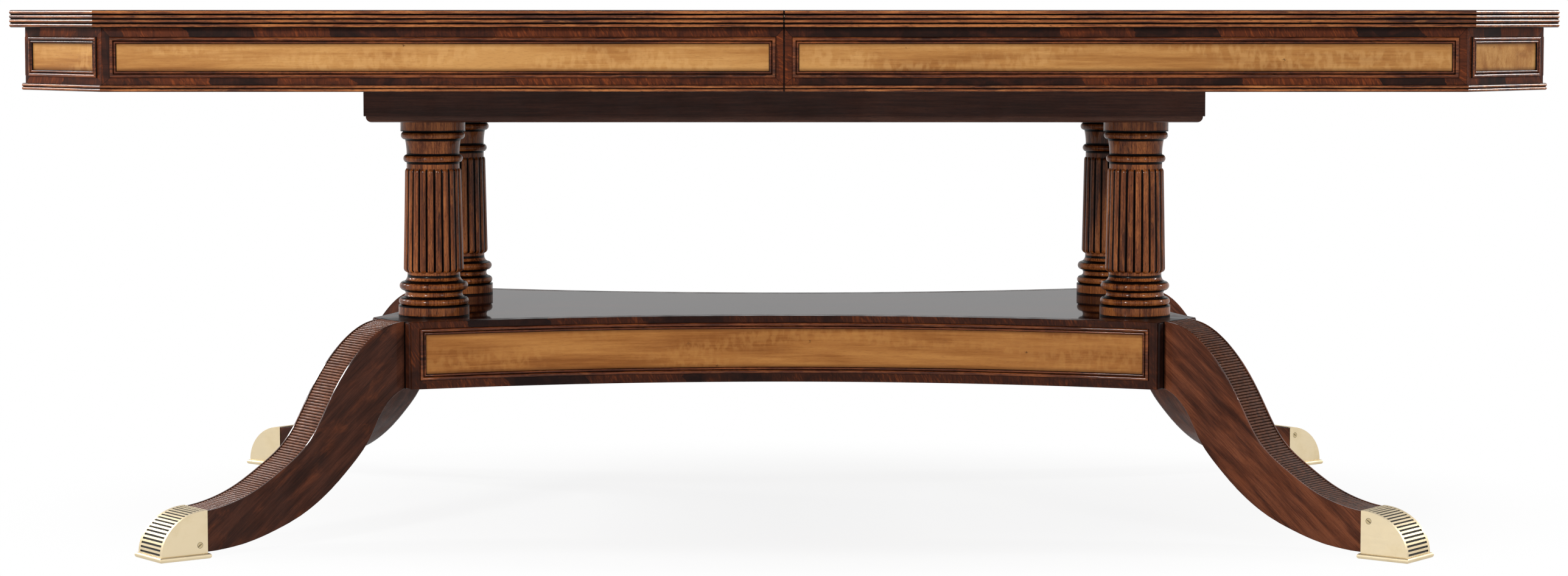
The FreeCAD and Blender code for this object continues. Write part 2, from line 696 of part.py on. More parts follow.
def make_bearer(runners):
    """The box under the top: rails, floor and slide guides."""
    half_length, half_width = s.bearer_length / 2, s.bearer_width / 2
    front = keep(block("bearer_front", (-half_length, -half_width, rail_bottom),
                       (half_length, s.bearer_wall - half_width, bearer_top)))
    keep(mirrored("bearer_back", front, FRONT_TO_BACK))
    inner = half_width - s.bearer_wall
    ends = (("left", -half_length, -guide_half), ("right", guide_half, half_length))
    for half, start, stop in ends:
        end = block(f"bearer_end_{half}_blank", (start, -inner, rail_bottom), (stop, inner, bearer_top))
        keep(cut(f"bearer_end_{half}", end, both_sides([runners[half].notch])))

    lip_x = v.bearer_length / 2 - v.bearer_lip_setback
    lip_y = v.bearer_width / 2 - v.bearer_lip_setback
    lip_low = Vector(-lip_x, -lip_y, bearer_bottom.value)
    lip = Part.makeBox(2 * lip_x, 2 * lip_y, v.bearer_lip_height, lip_low)
    lower = [edge for edge in lip.Edges if edge.BoundBox.ZMax < lip_low.z + v.bearer_lip_height / 2]
    floor_lip = shaped("bearer_floor_lip", lip.makeFillet(v.bearer_lip_round, lower))
    core = block("bearer_floor_core", (-guide_half, -inner, rail_bottom),
                 (guide_half, inner, bearer_floor_top))
    blank = joined("bearer_floor_blank", [floor_lip, core])
    keep(cut("bearer_floor", blank, column_bores("bearer_floor", bearer_bottom, bearer_bottom)))

    groove_half = s.tongue_height / 2 + s.slide_clearance
    middle = top_underside - s.runner_height / 2
    depth = s.tongue_depth + s.slide_clearance
    bar = block("slide_guide_bar", (-guide_half, -guide_line - s.guide_width / 2, bearer_floor_top),
                (guide_half, s.guide_width / 2 - guide_line, bearer_top))
    stop = guide_half - s.guide_stop
    outer = -guide_line - s.guide_width / 2
    inner_face = s.guide_width / 2 - guide_line
    left = block("slide_guide_left_groove", (-stop, outer - OVERCUT, middle - groove_half),
                 (guide_half + OVERCUT, outer + depth, middle + groove_half))
    right = block("slide_guide_right_groove",
                  (-guide_half - OVERCUT, inner_face - depth, middle - groove_half),
                  (stop, inner_face + OVERCUT, middle + groove_half))
    guide = cut("slide_guide_front", bar, [left, right])
    keep(group("slide_guides", both_sides([guide])))


def column_bores(name, tenon_bottom, rod_bottom):
    """Tenon sockets and tie-rod holes at the four columns, going up from the given levels."""
    tenon = rod(f"{name}_tenon_socket", -column_x, -column_y, tenon_bottom,
                s.column_tenon_radius + s.tie_rod_clearance, s.column_tenon_length + s.tie_rod_clearance)
    hole = rod(f"{name}_rod_hole", -column_x, -column_y, rod_bottom,
               s.tie_rod_radius + s.tie_rod_clearance, s.platform_height)
    return at_corners(f"{name}_tenon_socket", tenon) + at_corners(f"{name}_rod_hole", hole)


def arc_edge(start, stop, bulge):
    """An arc between two profile points (radius, height), bulging outwards by the given amount."""
    middle = Vector((start.x + stop.x) / 2 + bulge, 0, (start.z + stop.z) / 2)
    return Part.Arc(start, middle, stop).toShape()


def make_columns():
    """Turned columns: rings and coves in one revolved profile, and a shaft of tapered reeds."""
    low, high = platform_top.value, bearer_bottom.value
    # Members from the foot up: height, radius at the lower end, radius at the upper end and bulge.
    # A ring starts from a fillet as narrow as its bulge, so its widest point is its own radius.
    ring, upper = v.column_ring_height / 2, v.column_upper_ring_height / 2
    cap = v.capital_ring_height / 2
    ring_root, upper_root = v.column_ring_radius - ring, v.column_upper_ring_radius - upper
    cap_root = v.capital_ring_radius - cap
    ovolo_root = v.capital_ovolo_radius - v.capital_ovolo_height / 2
    neck = v.column_neck_radius
    scotia_bulge = v.column_scotia_radius - (ring_root + upper_root) / 2
    foot = [
        (v.column_base_height, v.column_base_radius, v.column_base_radius, 0),
        (v.column_ring_height, ring_root, ring_root, ring),
        (v.column_scotia_height, ring_root, upper_root, scotia_bulge),
        (v.column_upper_ring_height, upper_root, upper_root, upper),
        (v.column_foot_cove_height, upper_root, neck, (neck - upper_root) * v.column_cove_bulge),
        (v.column_neck_height, neck, neck, 0),
    ]
    head = [
        (v.capital_neck_height, neck, neck, 0),
        (v.capital_ring_height, cap_root, cap_root, cap),
        (v.capital_cove_height, neck, ovolo_root, (neck - ovolo_root) * v.column_cove_bulge),
        (v.capital_ovolo_height, ovolo_root, ovolo_root, v.capital_ovolo_height / 2),
        (v.capital_block_height, v.capital_block_radius, v.capital_block_radius, 0),
    ]
    shaft_low = low + sum(member[0] for member in foot)
    shaft_high = high - sum(member[0] for member in head)
    shaft = (shaft_high - shaft_low, neck, neck, 0)
    bore = v.tie_rod_radius + v.tie_rod_clearance
    tenon_low = low - v.column_tenon_length
    edges = []
    here = Vector(bore, 0, tenon_low)
    for corner in ((v.column_tenon_radius, tenon_low), (v.column_tenon_radius, low)):
        there = Vector(corner[0], 0, corner[1])
        edges.append(Part.makeLine(here, there))
        here = there
    for height, start, stop, bulge in foot + [shaft] + head:
        first = Vector(start, 0, here.z)
        last = Vector(stop, 0, here.z + height)
        if abs(first.x - here.x) > TOUCH:
            edges.append(Part.makeLine(here, first))
        edges.append(arc_edge(first, last, bulge) if bulge else Part.makeLine(first, last))
        here = last
    tenon_high = high + v.column_tenon_length
    upper_tenon = ((v.column_tenon_radius, high), (v.column_tenon_radius, tenon_high))
    for corner in upper_tenon + ((bore, tenon_high), (bore, tenon_low)):
        there = Vector(corner[0], 0, corner[1])
        edges.append(Part.makeLine(here, there))
        here = there
    turned = Part.Face(Part.Wire(edges)).revolve(Vector(), UP, 360)

    reed = v.shaft_reed_radius
    foot_axis, head_axis = v.shaft_foot_radius - reed, v.shaft_head_radius - reed
    base = Vector(foot_axis, 0, shaft_low + reed)
    tip = Vector(head_axis, 0, shaft_high - reed)
    rib = Part.makeCylinder(reed, (tip - base).Length, base, tip - base)
    rib = rib.fuse([Part.makeSphere(reed, base), Part.makeSphere(reed, tip)]).removeSplitter()
    count = int(v.shaft_reed_count)
    ribs = []
    for index in range(count):
        copy = rib.copy()
        copy.rotate(Vector(), UP, 360 * (index + 0.5) / count)
        ribs.append(copy)
    middle = Part.makeCylinder(neck, shaft_high - shaft_low, Vector(0, 0, shaft_low))
    bored = Part.makeCylinder(bore, high - low, Vector(0, 0, low))
    reeded = middle.fuse(ribs).cut(bored)
    column = keep(shaped("column_front_left", turned.fuse(reeded).removeSplitter(),
                         Placement(Vector(-column_x.value, -column_y.value, 0), Rotation())))
    keep_at_corners("column", column)


def nut_shape(radius, bore, height):
    """A hexagon nut standing on the XY plane."""
    corners = [Vector(radius * math.cos(math.radians(60 * k)), radius * math.sin(math.radians(60 * k)), 0)
               for k in range(6)]
    return polygon_prism(corners, 0, height).cut(Part.makeCylinder(bore, height))


def make_tie_rods():
    """Threaded rods through the columns, clamped by a nut under the platform and one in the bearer."""
    seat = platform_top - s.platform_top_thickness
    low = seat - s.tie_rod_nut_height - s.tie_rod_overrun
    high = bearer_floor_top + s.tie_rod_nut_height + s.tie_rod_overrun
    bar = rod("tie_rod", -column_x, -column_y, low, s.tie_rod_radius, high - low)
    keep(group("tie_rods", at_corners("tie_rod", bar)))
    nut = nut_shape(v.tie_rod_nut_radius, v.tie_rod_radius, v.tie_rod_nut_height)
    nuts = []
    for name, level in (("lower", seat - s.tie_rod_nut_height), ("upper", bearer_floor_top)):
        here = Placement(Vector(-column_x.value, -column_y.value, level.value), Rotation())
        nuts += at_corners(f"tie_rod_nut_{name}", shaped(f"tie_rod_nut_{name}", nut, here))
    keep(group("tie_rod_nuts", nuts))


def platform_outline():
    """The plan of the platform as a face: four hollow sides between canted corners."""
    waist = corner_y - v.platform_front_hollow
    end_waist = -end_corner.x - v.platform_end_hollow
    front_left, back_left = front_corner, Vector(front_corner.x, -front_corner.y, 0)
    front_right, back_right = Vector(-front_corner.x, front_corner.y, 0), front_corner * -1
    left_front, left_back = end_corner, Vector(end_corner.x, -end_corner.y, 0)
    right_front, right_back = Vector(-end_corner.x, end_corner.y, 0), end_corner * -1
    edges = [
        Part.Arc(front_left, Vector(0, -waist, 0), front_right),
        Part.LineSegment(front_right, right_front),
        Part.Arc(right_front, Vector(end_waist, 0, 0), right_back),
        Part.LineSegment(right_back, back_right),
        Part.Arc(back_right, Vector(0, waist, 0), back_left),
        Part.LineSegment(back_left, left_back),
        Part.Arc(left_back, Vector(-end_waist, 0, 0), left_front),
        Part.LineSegment(left_front, front_left),
    ]
    return Part.Face(Part.Wire([edge.toShape() for edge in edges]))


def slab_between(face, low, high):
    solid = face.extrude(Vector(0, 0, high - low))
    solid.translate(Vector(0, 0, low))
    return solid


def make_platform():
    """The hollow-sided box under the columns: rails, corner posts, boards, panels and beads."""
    low, high = v.platform_bottom, platform_top.value
    outline = platform_outline()
    inside = outline.makeOffset2D(-v.platform_rail_thickness, 2)
    ring = slab_between(outline, low, high).cut(slab_between(inside, low, high))
    depth = leg_line * -v.post_depth
    plan = [front_corner, end_corner, end_corner + depth, front_corner + depth]
    post = polygon_prism(plan, low, v.platform_height)
    posts = [post, post.mirror(Vector(), FRONT_TO_BACK)]
    posts += [item.mirror(Vector(), LEFT_TO_RIGHT) for item in posts]
    walls = ring.cut(posts)

    frame_low, frame_high = low + v.platform_border_bottom, high - v.platform_border_top
    half_frame = v.frame_width / 2
    panels, frames, rails = [], [], {}
    sides = {
        "front": (hollow_curve(corner_x, corner_y, v.platform_front_hollow), 0),
        "left": (hollow_curve(-end_corner.y, -end_corner.x, v.platform_end_hollow), -90),
    }
    near_corner = leg_root * 2
    wedges = {
        "front": [Vector(), near_corner, Vector(-near_corner.x, near_corner.y, 0)],
        "left": [Vector(), Vector(near_corner.x, -near_corner.y, 0), near_corner],
    }
    for side, (curve, turn) in sides.items():
        rail = walls.common(polygon_prism(wedges[side], low, v.platform_height))
        frame_turn = curve.half_turn - v.platform_border_side / curve.radius
        panel_turn = frame_turn - half_frame / curve.radius
        gap = v.panel_clearance
        here = Placement(Vector(), Rotation(UP, turn))
        pocket = hollow_slab(curve, panel_turn + gap / curve.radius, v.panel_thickness,
                             frame_low + half_frame - gap, frame_high - half_frame + gap)
        pocket.Placement = here * pocket.Placement
        rails[side] = keep(shaped(f"platform_rail_{side}", rail.cut(pocket)))
        panel = hollow_slab(curve, panel_turn, v.panel_thickness,
                            frame_low + half_frame, frame_high - half_frame)
        panels.append(shaped(f"platform_panel_{side}", panel, here))
        strips = Part.makeCompound(hollow_frame(curve, frame_turn, frame_low, frame_high))
        frames.append(shaped(f"platform_bead_{side}", strips, here))
    keep(mirrored("platform_rail_back", rails["front"], FRONT_TO_BACK))
    keep(mirrored("platform_rail_right", rails["left"], LEFT_TO_RIGHT))
    opposite = (FRONT_TO_BACK, LEFT_TO_RIGHT)
    for label, items in (("platform_panels", panels), ("platform_panel_beads", frames)):
        copies = [mirrored(f"{item.Name}_opposite", item, normal) for item, normal in zip(items, opposite)]
        keep(group(label, items + copies))

    board_bottom = high - v.platform_top_thickness
    board = shaped("platform_top_blank", slab_between(inside, board_bottom, high).cut(posts))
    socket_bottom = platform_top - s.column_tenon_length - s.tie_rod_clearance
    keep(cut("platform_top", board, column_bores("platform_top", socket_bottom, s.platform_bottom)))
    floor_top = low + v.platform_floor_thickness
    keep(shaped("platform_floor", slab_between(inside, low, floor_top).cut(posts)))
    bolts = leg_bolt_shapes(v.leg_bolt_radius + v.leg_bolt_clearance)
    holes = [bolt.transformed(leg_place.toMatrix()) for bolt in bolts]
    post_node = shaped("platform_corner_post", post.cut(holes))
    keep(group("platform_corner_posts", at_corners("platform_corner_post", post_node)))


def leg_bolt_levels():
    return v.platform_bottom + v.leg_bolt_bottom_inset, platform_top.value - v.leg_bolt_top_inset


def leg_bolt_shapes(radius):
    """The two bolts of a leg in the leg's own frame, where X runs outwards from the corner post."""
    start = -(v.post_depth + v.leg_nut_height + v.leg_bolt_overrun)
    length = v.leg_bolt_bite - start
    return [Part.makeCylinder(radius, length, Vector(start, 0, level), LEFT_TO_RIGHT)
            for level in leg_bolt_levels()]


def sabre_curve(points, start, stop):
    """A smooth curve from root to toe through points given as parts of its span."""
    fall = start.z - stop.z
    spots = [start] + [Vector(start.x + (stop.x - start.x) * along, 0, start.z - fall * down)
                       for along, down in points] + [stop]
    curve = Part.BSplineCurve()
    curve.interpolate(Points=spots)
    return curve


def ribbed_edges(curve, pitch, depth, sink):
    """Half-round ribs along a curve: arcs just below it, with grooves between them deeper still."""
    length = curve.length()
    count = max(2, int(round(length / pitch)))

    def spot(distance, below):
        parameter = curve.parameterAtDistance(distance)
        along = Vector(*curve.tangent(parameter)[0])
        return curve.value(parameter) + Vector(along.z, 0, -along.x) * below

    step = length / count
    cusps = [spot(step * index, sink + depth) for index in range(count + 1)]
    crowns = [spot(step * (index + 0.5), sink) for index in range(count)]
    return cusps, [Part.Arc(cusps[k], crowns[k], cusps[k + 1]).toShape() for k in range(count)]


def toe_profile(shrink):
    """The quarter ellipse of a toe cap over its plinth, made smaller all round for the space inside it."""
    centre = Vector(v.leg_reach, 0, v.plinth_height)
    front = centre + Vector(v.cap_length - shrink, 0, 0)
    top = centre + Vector(0, 0, v.cap_rise - shrink)
    ellipse = Part.Ellipse(front, top, centre)
    curve = Part.ArcOfEllipse(ellipse, 0, math.pi / 2)
    back = Part.makePolygon([curve.EndPoint, centre, curve.StartPoint])
    return curve, Part.Face(Part.Wire([curve.toShape()] + back.Edges))


def across(face, width):
    """A face in the XZ plane made into a solid of the given width about that plane."""
    solid = face.extrude(Vector(0, width, 0))
    solid.translate(Vector(0, -width / 2, 0))
    return solid


def make_legs():
    """Sabre legs with ribbed backs between plain rims, and a toe that fits the brass cap."""
    root_top, root_low = Vector(0, 0, platform_top.value), Vector(0, 0, v.platform_bottom)
    toe_top = Vector(v.leg_reach, 0, v.plinth_height + v.cap_rise - v.cap_proud)
    toe_low = Vector(v.leg_reach, 0, v.leg_toe_underside)
    upper = sabre_curve(LEG_TOP_CURVE, root_top, toe_top)
    lower = sabre_curve(LEG_BOTTOM_CURVE, root_low, toe_low)
    cusps, ribs = ribbed_edges(upper, v.leg_rib_pitch, v.leg_rib_depth, v.leg_rib_sink)
    plain = Part.Wire([upper.toShape(), Part.makeLine(toe_top, toe_low), lower.toShape(),
                       Part.makeLine(root_low, root_top)])
    start, stop = Vector(0, 0, cusps[0].z), Vector(v.leg_reach, 0, cusps[-1].z)
    links = [Part.makeLine(*ends) for ends in ((start, cusps[0]), (cusps[-1], stop))
             if (ends[1] - ends[0]).Length > TOUCH]
    rest = [Part.makeLine(stop, toe_low), lower.toShape(), Part.makeLine(root_low, start)]
    ribbed = Part.Wire(Part.__sortEdges__(ribs + links + rest))
    inner_width = v.leg_width - 2 * v.leg_rim
    rim = Part.Face(plain).extrude(Vector(0, v.leg_rim, 0))
    rims = [rim.translated(Vector(0, y, 0)) for y in (-v.leg_width / 2, inner_width / 2)]
    toe = toe_profile(v.cap_wall + v.cap_clearance)[1]
    toe = across(toe, v.cap_width - 2 * (v.cap_wall + v.cap_clearance))
    leg = across(Part.Face(ribbed), inner_width).fuse(rims + [toe])
    # The first rib leans back past the root, where the corner post stands.
    post_side = Part.makeBox(v.post_depth, v.leg_width, platform_top.value,
                             Vector(-v.post_depth, -v.leg_width / 2, 0))
    return leg.cut([post_side] + leg_bolt_shapes(v.leg_bolt_radius))


def make_toe_cap():
    """A brass box toe: slotted quarter-round shell over the leg's end, on a plinth with a rounded edge."""
    curve, face = toe_profile(0)
    hollow = across(toe_profile(v.cap_wall)[1], v.cap_width - 2 * v.cap_wall)
    shell = across(face, v.cap_width).cut(hollow)
    length = curve.length()
    slots = []
    width = v.cap_width - 2 * v.cap_rim
    for index in range(int(v.cap_slot_count)):
        spot = curve.value(curve.parameterAtDistance(length * (index + 0.5) / v.cap_slot_count))
        start = spot - FRONT_TO_BACK * (width / 2)
        slots.append(Part.makeCylinder(v.cap_slot_radius, width, start, FRONT_TO_BACK))
    half = v.cap_width / 2 + v.plinth_lip
    plinth = Part.makeBox(v.cap_length + 2 * v.plinth_lip, 2 * half, v.plinth_height,
                          Vector(v.leg_reach - v.plinth_lip, -half, 0))
    level = [edge for edge in plinth.Edges if edge.BoundBox.ZLength < v.plinth_height / 2]
    plinth = plinth.makeFillet(v.plinth_round, level)
    return shell.cut(slots).fuse(plinth).removeSplitter()


def toe_screw(height, side):
    """A slotted screw through one side of a toe cap, with the hole that it fills."""
    spot = Vector(v.leg_reach + v.cap_screw_inset, side * v.cap_width / 2, v.plinth_height + height)
    inwards = Vector(0, -side, 0)
    shank = Part.makeCylinder(v.cap_screw_radius, v.cap_screw_length, spot, inwards)
    head = Part.makeCone(v.cap_screw_head_radius, v.cap_screw_radius, v.cap_screw_head_height, spot, inwards)
    solid = shank.fuse(head)
    length, depth = 2 * (v.cap_screw_head_radius + OVERCUT), v.cap_screw_slot
    slot = Part.makeBox(length, 2 * depth, depth, spot - Vector(length / 2, depth, depth / 2))
    slot.rotate(spot, FRONT_TO_BACK, v.cap_screw_slot_turn)
    return solid, solid.cut(slot)


def make_feet():
    """Legs, toe caps and their fasteners at the four corners."""
    leg, cap = make_legs(), make_toe_cap()
    screws = []
    for half, height in (("left", v.cap_screw_low), ("right", v.cap_screw_high)):
        made = [toe_screw(height, side) for side in (-1, 1)]
        holes = [hole for hole, _ in made]
        leg_node = shaped(f"leg_front_{half}_drawn", leg.cut(holes).removeSplitter(), leg_place)
        cap_node = shaped(f"toe_cap_front_{half}_drawn", cap.cut(holes), leg_place)
        screw_node = shaped(f"toe_screws_{half}", Part.makeCompound([screw for _, screw in made]), leg_place)
        if half == "right":
            leg_node = mirrored("leg_front_right_place", leg_node, LEFT_TO_RIGHT)
            cap_node = mirrored("toe_cap_front_right_place", cap_node, LEFT_TO_RIGHT)
            screw_node = mirrored("toe_screws_right_place", screw_node, LEFT_TO_RIGHT)
        for name, node in (("leg", leg_node), ("toe_cap", cap_node)):
            node.Label = f"{name}_front_{half}"
            keep(node)
            keep(mirrored(f"{name}_back_{half}", node, FRONT_TO_BACK))
        screws += both_sides([screw_node])
    keep(group("toe_cap_screws", screws))

    bolts = shaped("leg_bolt_pair", Part.makeCompound(leg_bolt_shapes(v.leg_bolt_radius)), leg_place)
    keep(group("leg_bolts", at_corners("leg_bolt_pair", bolts)))
    nut = nut_shape(v.leg_nut_radius, v.leg_bolt_radius, v.leg_nut_height)
    pair = []
    for level in leg_bolt_levels():
        here = Placement(Vector(-v.post_depth - v.leg_nut_height, 0, level), Rotation(FRONT_TO_BACK, 90))
        pair.append(nut.transformed(here.toMatrix()))
    nuts = shaped("leg_nut_pair", Part.makeCompound(pair), leg_place)
    keep(group("leg_bolt_nuts", at_corners("leg_nut_pair", nuts)))


make_bearer(make_half_tops())
make_columns()
make_tie_rods()
make_platform()
make_feet()
doc.recompute()

for item in doc.Objects:
    if "Invalid" in item.State or "Error" in item.State:
        raise RuntimeError(f"{item.Label} failed: {item.State}")
for item in nodes:
    if item.Shape.isNull() or not item.Shape.isValid() or not item.Shape.Solids:
        raise RuntimeError(f"{item.Label} has no valid solid")

os.makedirs("parts", exist_ok=True)
for item in nodes:
    item.Shape.exportStep(f"parts/{item.Label}.step")
    print(item.Label, len(item.Shape.Solids), round(item.Shape.Volume))
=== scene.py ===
"""Looks of the extending dining table: woods, brass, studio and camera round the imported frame.

Metres, +Z up, +X along the table and -Y its front, as in the part's source.
"""

import json
import math

import bpy
import numpy as np
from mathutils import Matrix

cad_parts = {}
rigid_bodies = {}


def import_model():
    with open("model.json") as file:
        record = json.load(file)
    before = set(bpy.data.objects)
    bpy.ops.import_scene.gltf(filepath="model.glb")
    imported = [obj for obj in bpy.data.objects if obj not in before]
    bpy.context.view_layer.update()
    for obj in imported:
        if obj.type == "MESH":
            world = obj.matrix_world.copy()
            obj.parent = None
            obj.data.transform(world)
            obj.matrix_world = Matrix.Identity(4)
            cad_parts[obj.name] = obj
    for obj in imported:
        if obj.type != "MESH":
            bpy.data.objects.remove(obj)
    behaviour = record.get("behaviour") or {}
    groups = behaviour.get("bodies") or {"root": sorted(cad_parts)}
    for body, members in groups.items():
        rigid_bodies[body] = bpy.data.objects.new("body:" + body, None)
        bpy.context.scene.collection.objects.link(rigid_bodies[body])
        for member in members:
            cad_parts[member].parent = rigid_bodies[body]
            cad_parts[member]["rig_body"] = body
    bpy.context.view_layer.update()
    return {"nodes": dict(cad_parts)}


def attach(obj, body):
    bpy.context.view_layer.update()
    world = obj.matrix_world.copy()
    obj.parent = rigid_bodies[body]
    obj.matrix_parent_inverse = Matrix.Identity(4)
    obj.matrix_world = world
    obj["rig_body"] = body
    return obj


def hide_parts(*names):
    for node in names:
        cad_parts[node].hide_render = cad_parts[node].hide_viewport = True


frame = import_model()

FLOAT, VECTOR = "NodeSocketFloat", "NodeSocketVector"
HALF_ROOT = math.sqrt(0.5)
CORNERS = {"front_left": (-1, -1), "front_right": (1, -1), "back_left": (-1, 1), "back_right": (1, 1)}

# Outline of the closed top, with its corners cut at 45 degrees
TOP_HALF_LENGTH = 1.0795
TOP_HALF_WIDTH = 0.6
CORNER_CUT = 0.145
CORNER_SUM = TOP_HALF_LENGTH + TOP_HALF_WIDTH - CORNER_CUT
TOP_LEVEL = 0.762
UPPER_FACE = TOP_LEVEL - 0.002
STRINGING_INSET = 0.095
STRINGING_HALF = 0.001
EDGE_REED_DEPTH = 0.0022
APRON_SETBACK = 0.02
FOOT_BEAD_PROJECTION = 0.005
FOOT_BEAD_DEPTH = 0.0022
BEAD_RISE = 0.0034
# Dirt along the joint of the half tops: how far from it the dirt starts to fade, and where it ends
JOINT_DIRT = (0.0008, 0.0016)
# Border round the apron panels: its lowest and highest level, and its width below, above and at the ends
BORDER_LOW = 0.6605
BORDER_HIGH = 0.738
BORDER_WIDTHS = (0.0094, 0.0125, 0.0108)
APRON_PANEL_MIDDLE = 0.6977
APRON_PANEL_HALF = 0.0185

# Hollow sides of the platform: half chord, corner and depth of each arc
FRONT_HOLLOW = (0.537, 0.319, 0.109)
END_HOLLOW = (0.2355, 0.6023, 0.04)
PLATFORM_LOW = 0.2155
PLATFORM_HIGH = 0.313
PLATFORM_PANEL_MIDDLE = 0.2659
PLATFORM_PANEL_HALF = 0.0283
PLATFORM_END_DEPTH = 0.02

# Columns and legs, drawn at one corner and mirrored to the others
COLUMN_X = 0.517
COLUMN_Y = 0.2
COLUMN_REEDS = 22
SHAFT_FOOT = 0.377
SHAFT_HEAD = 0.532
SHAFT_FADE = 0.004
RING_GLAZE_AND_SHADE = (0.0008, 0.003)
RING_LEVELS = (0.3135, 0.329, 0.341, 0.351, 0.364, 0.372, 0.5388, 0.5508, 0.5728, 0.5848)
LEG_ROOT_X = 0.5696
LEG_ROOT_Y = 0.2773
LEG_ANGLE = math.radians(38)
LEG_SLOPE = math.radians(40)
LEG_HALF_WIDTH = 0.033
LEG_INNER_HALF = 0.03
LEG_SHOULDER = 0.02
RIB_DEPTH = 0.0017
RIB_SINK = 0.0004
RIB_END = 0.0026
RIB_CUTS = (0.0, 0.45, 0.8)
# Strip up each shoulder: its depth and width, where it stands on the shoulder, and the channel beyond it,
# painted near black as shade
STRIP_SIZE = (0.006, 0.0105)
STRIP_PLACE = 0.62
STRIP_SHORT = 0.002
CHANNEL_SHADE = (0.04, 0.043)

# Toe caps: where the quarter ellipse starts, its half axes, its foot, and half the length of its slots
TOE_START = 0.322
TOE_LENGTH = 0.072
TOE_RISE = 0.06
TOE_FOOT = 0.0075
SLOT_HALF = 0.0292
SLOT_FLOOR = (0.976, 0.99)
SCREW_SLOT = (0.0331, 0.0337)
SCREW_INSET = 0.012
SCREW_LEVELS = (0.0195, 0.0535)
SCREW_RADIUS = 0.004
SCREW_GAP = (0.0002, 0.0007)

# Eased edges, merged points, how near a point has to be to count as on a line, and the angles past which
# an edge stays sharp: on copied curves, on eased pieces, and on ribs, strips and bevels
BOARD_EDGE = 0.0004
RAIL_EDGE = 0.0006
BEARER_EDGE = 0.0008
TOE_EDGE = 0.0004
STRIP_EDGE = 0.001
LEG_ARRIS = 0.0008
MERGE_DISTANCE = 0.00001
HAIR = 0.0001
FLAT_ANGLE = math.radians(0.5)
CURVE_ANGLE = math.radians(32)
EASED_ANGLE = math.radians(50)
EDGE_ANGLE = math.radians(40)

# Finishes: how far the grain of each side, leg and border end is shifted so that no two are alike, how wide
# the toned edge of a panel is, the spread of the rubbed pattern, and the coat and roughness of mouldings
SIDE_SHIFT = 1.3
LEG_SHIFT = 3.1
END_SHIFT = 9.0
TONED_EDGE = 0.006
DULLNESS = (0.3, 0.75)
MOULDING_COAT = (0.03, 0.06)
MOULDING_DULL = (0.25, 0.4)

# Studio: light from all round, and the camera's place, pitch and turn in degrees, lens and shift
ROUND_LIGHT = 0.22
CAMERA_PLACE = (0.006, -5.1889, 0.7575)
CAMERA_PITCH = 3.705
CAMERA_TURN = 0.075
CAMERA_LENS = 77.9
CAMERA_SHIFT = -0.035


def tint(red, green, blue):
    """A colour given in screen values, as a shader takes it."""
    channels = [value / 255 for value in (red, green, blue)]
    return tuple(c / 12.92 if c <= 0.04045 else ((c + 0.055) / 1.055) ** 2.4 for c in channels) + (1,)


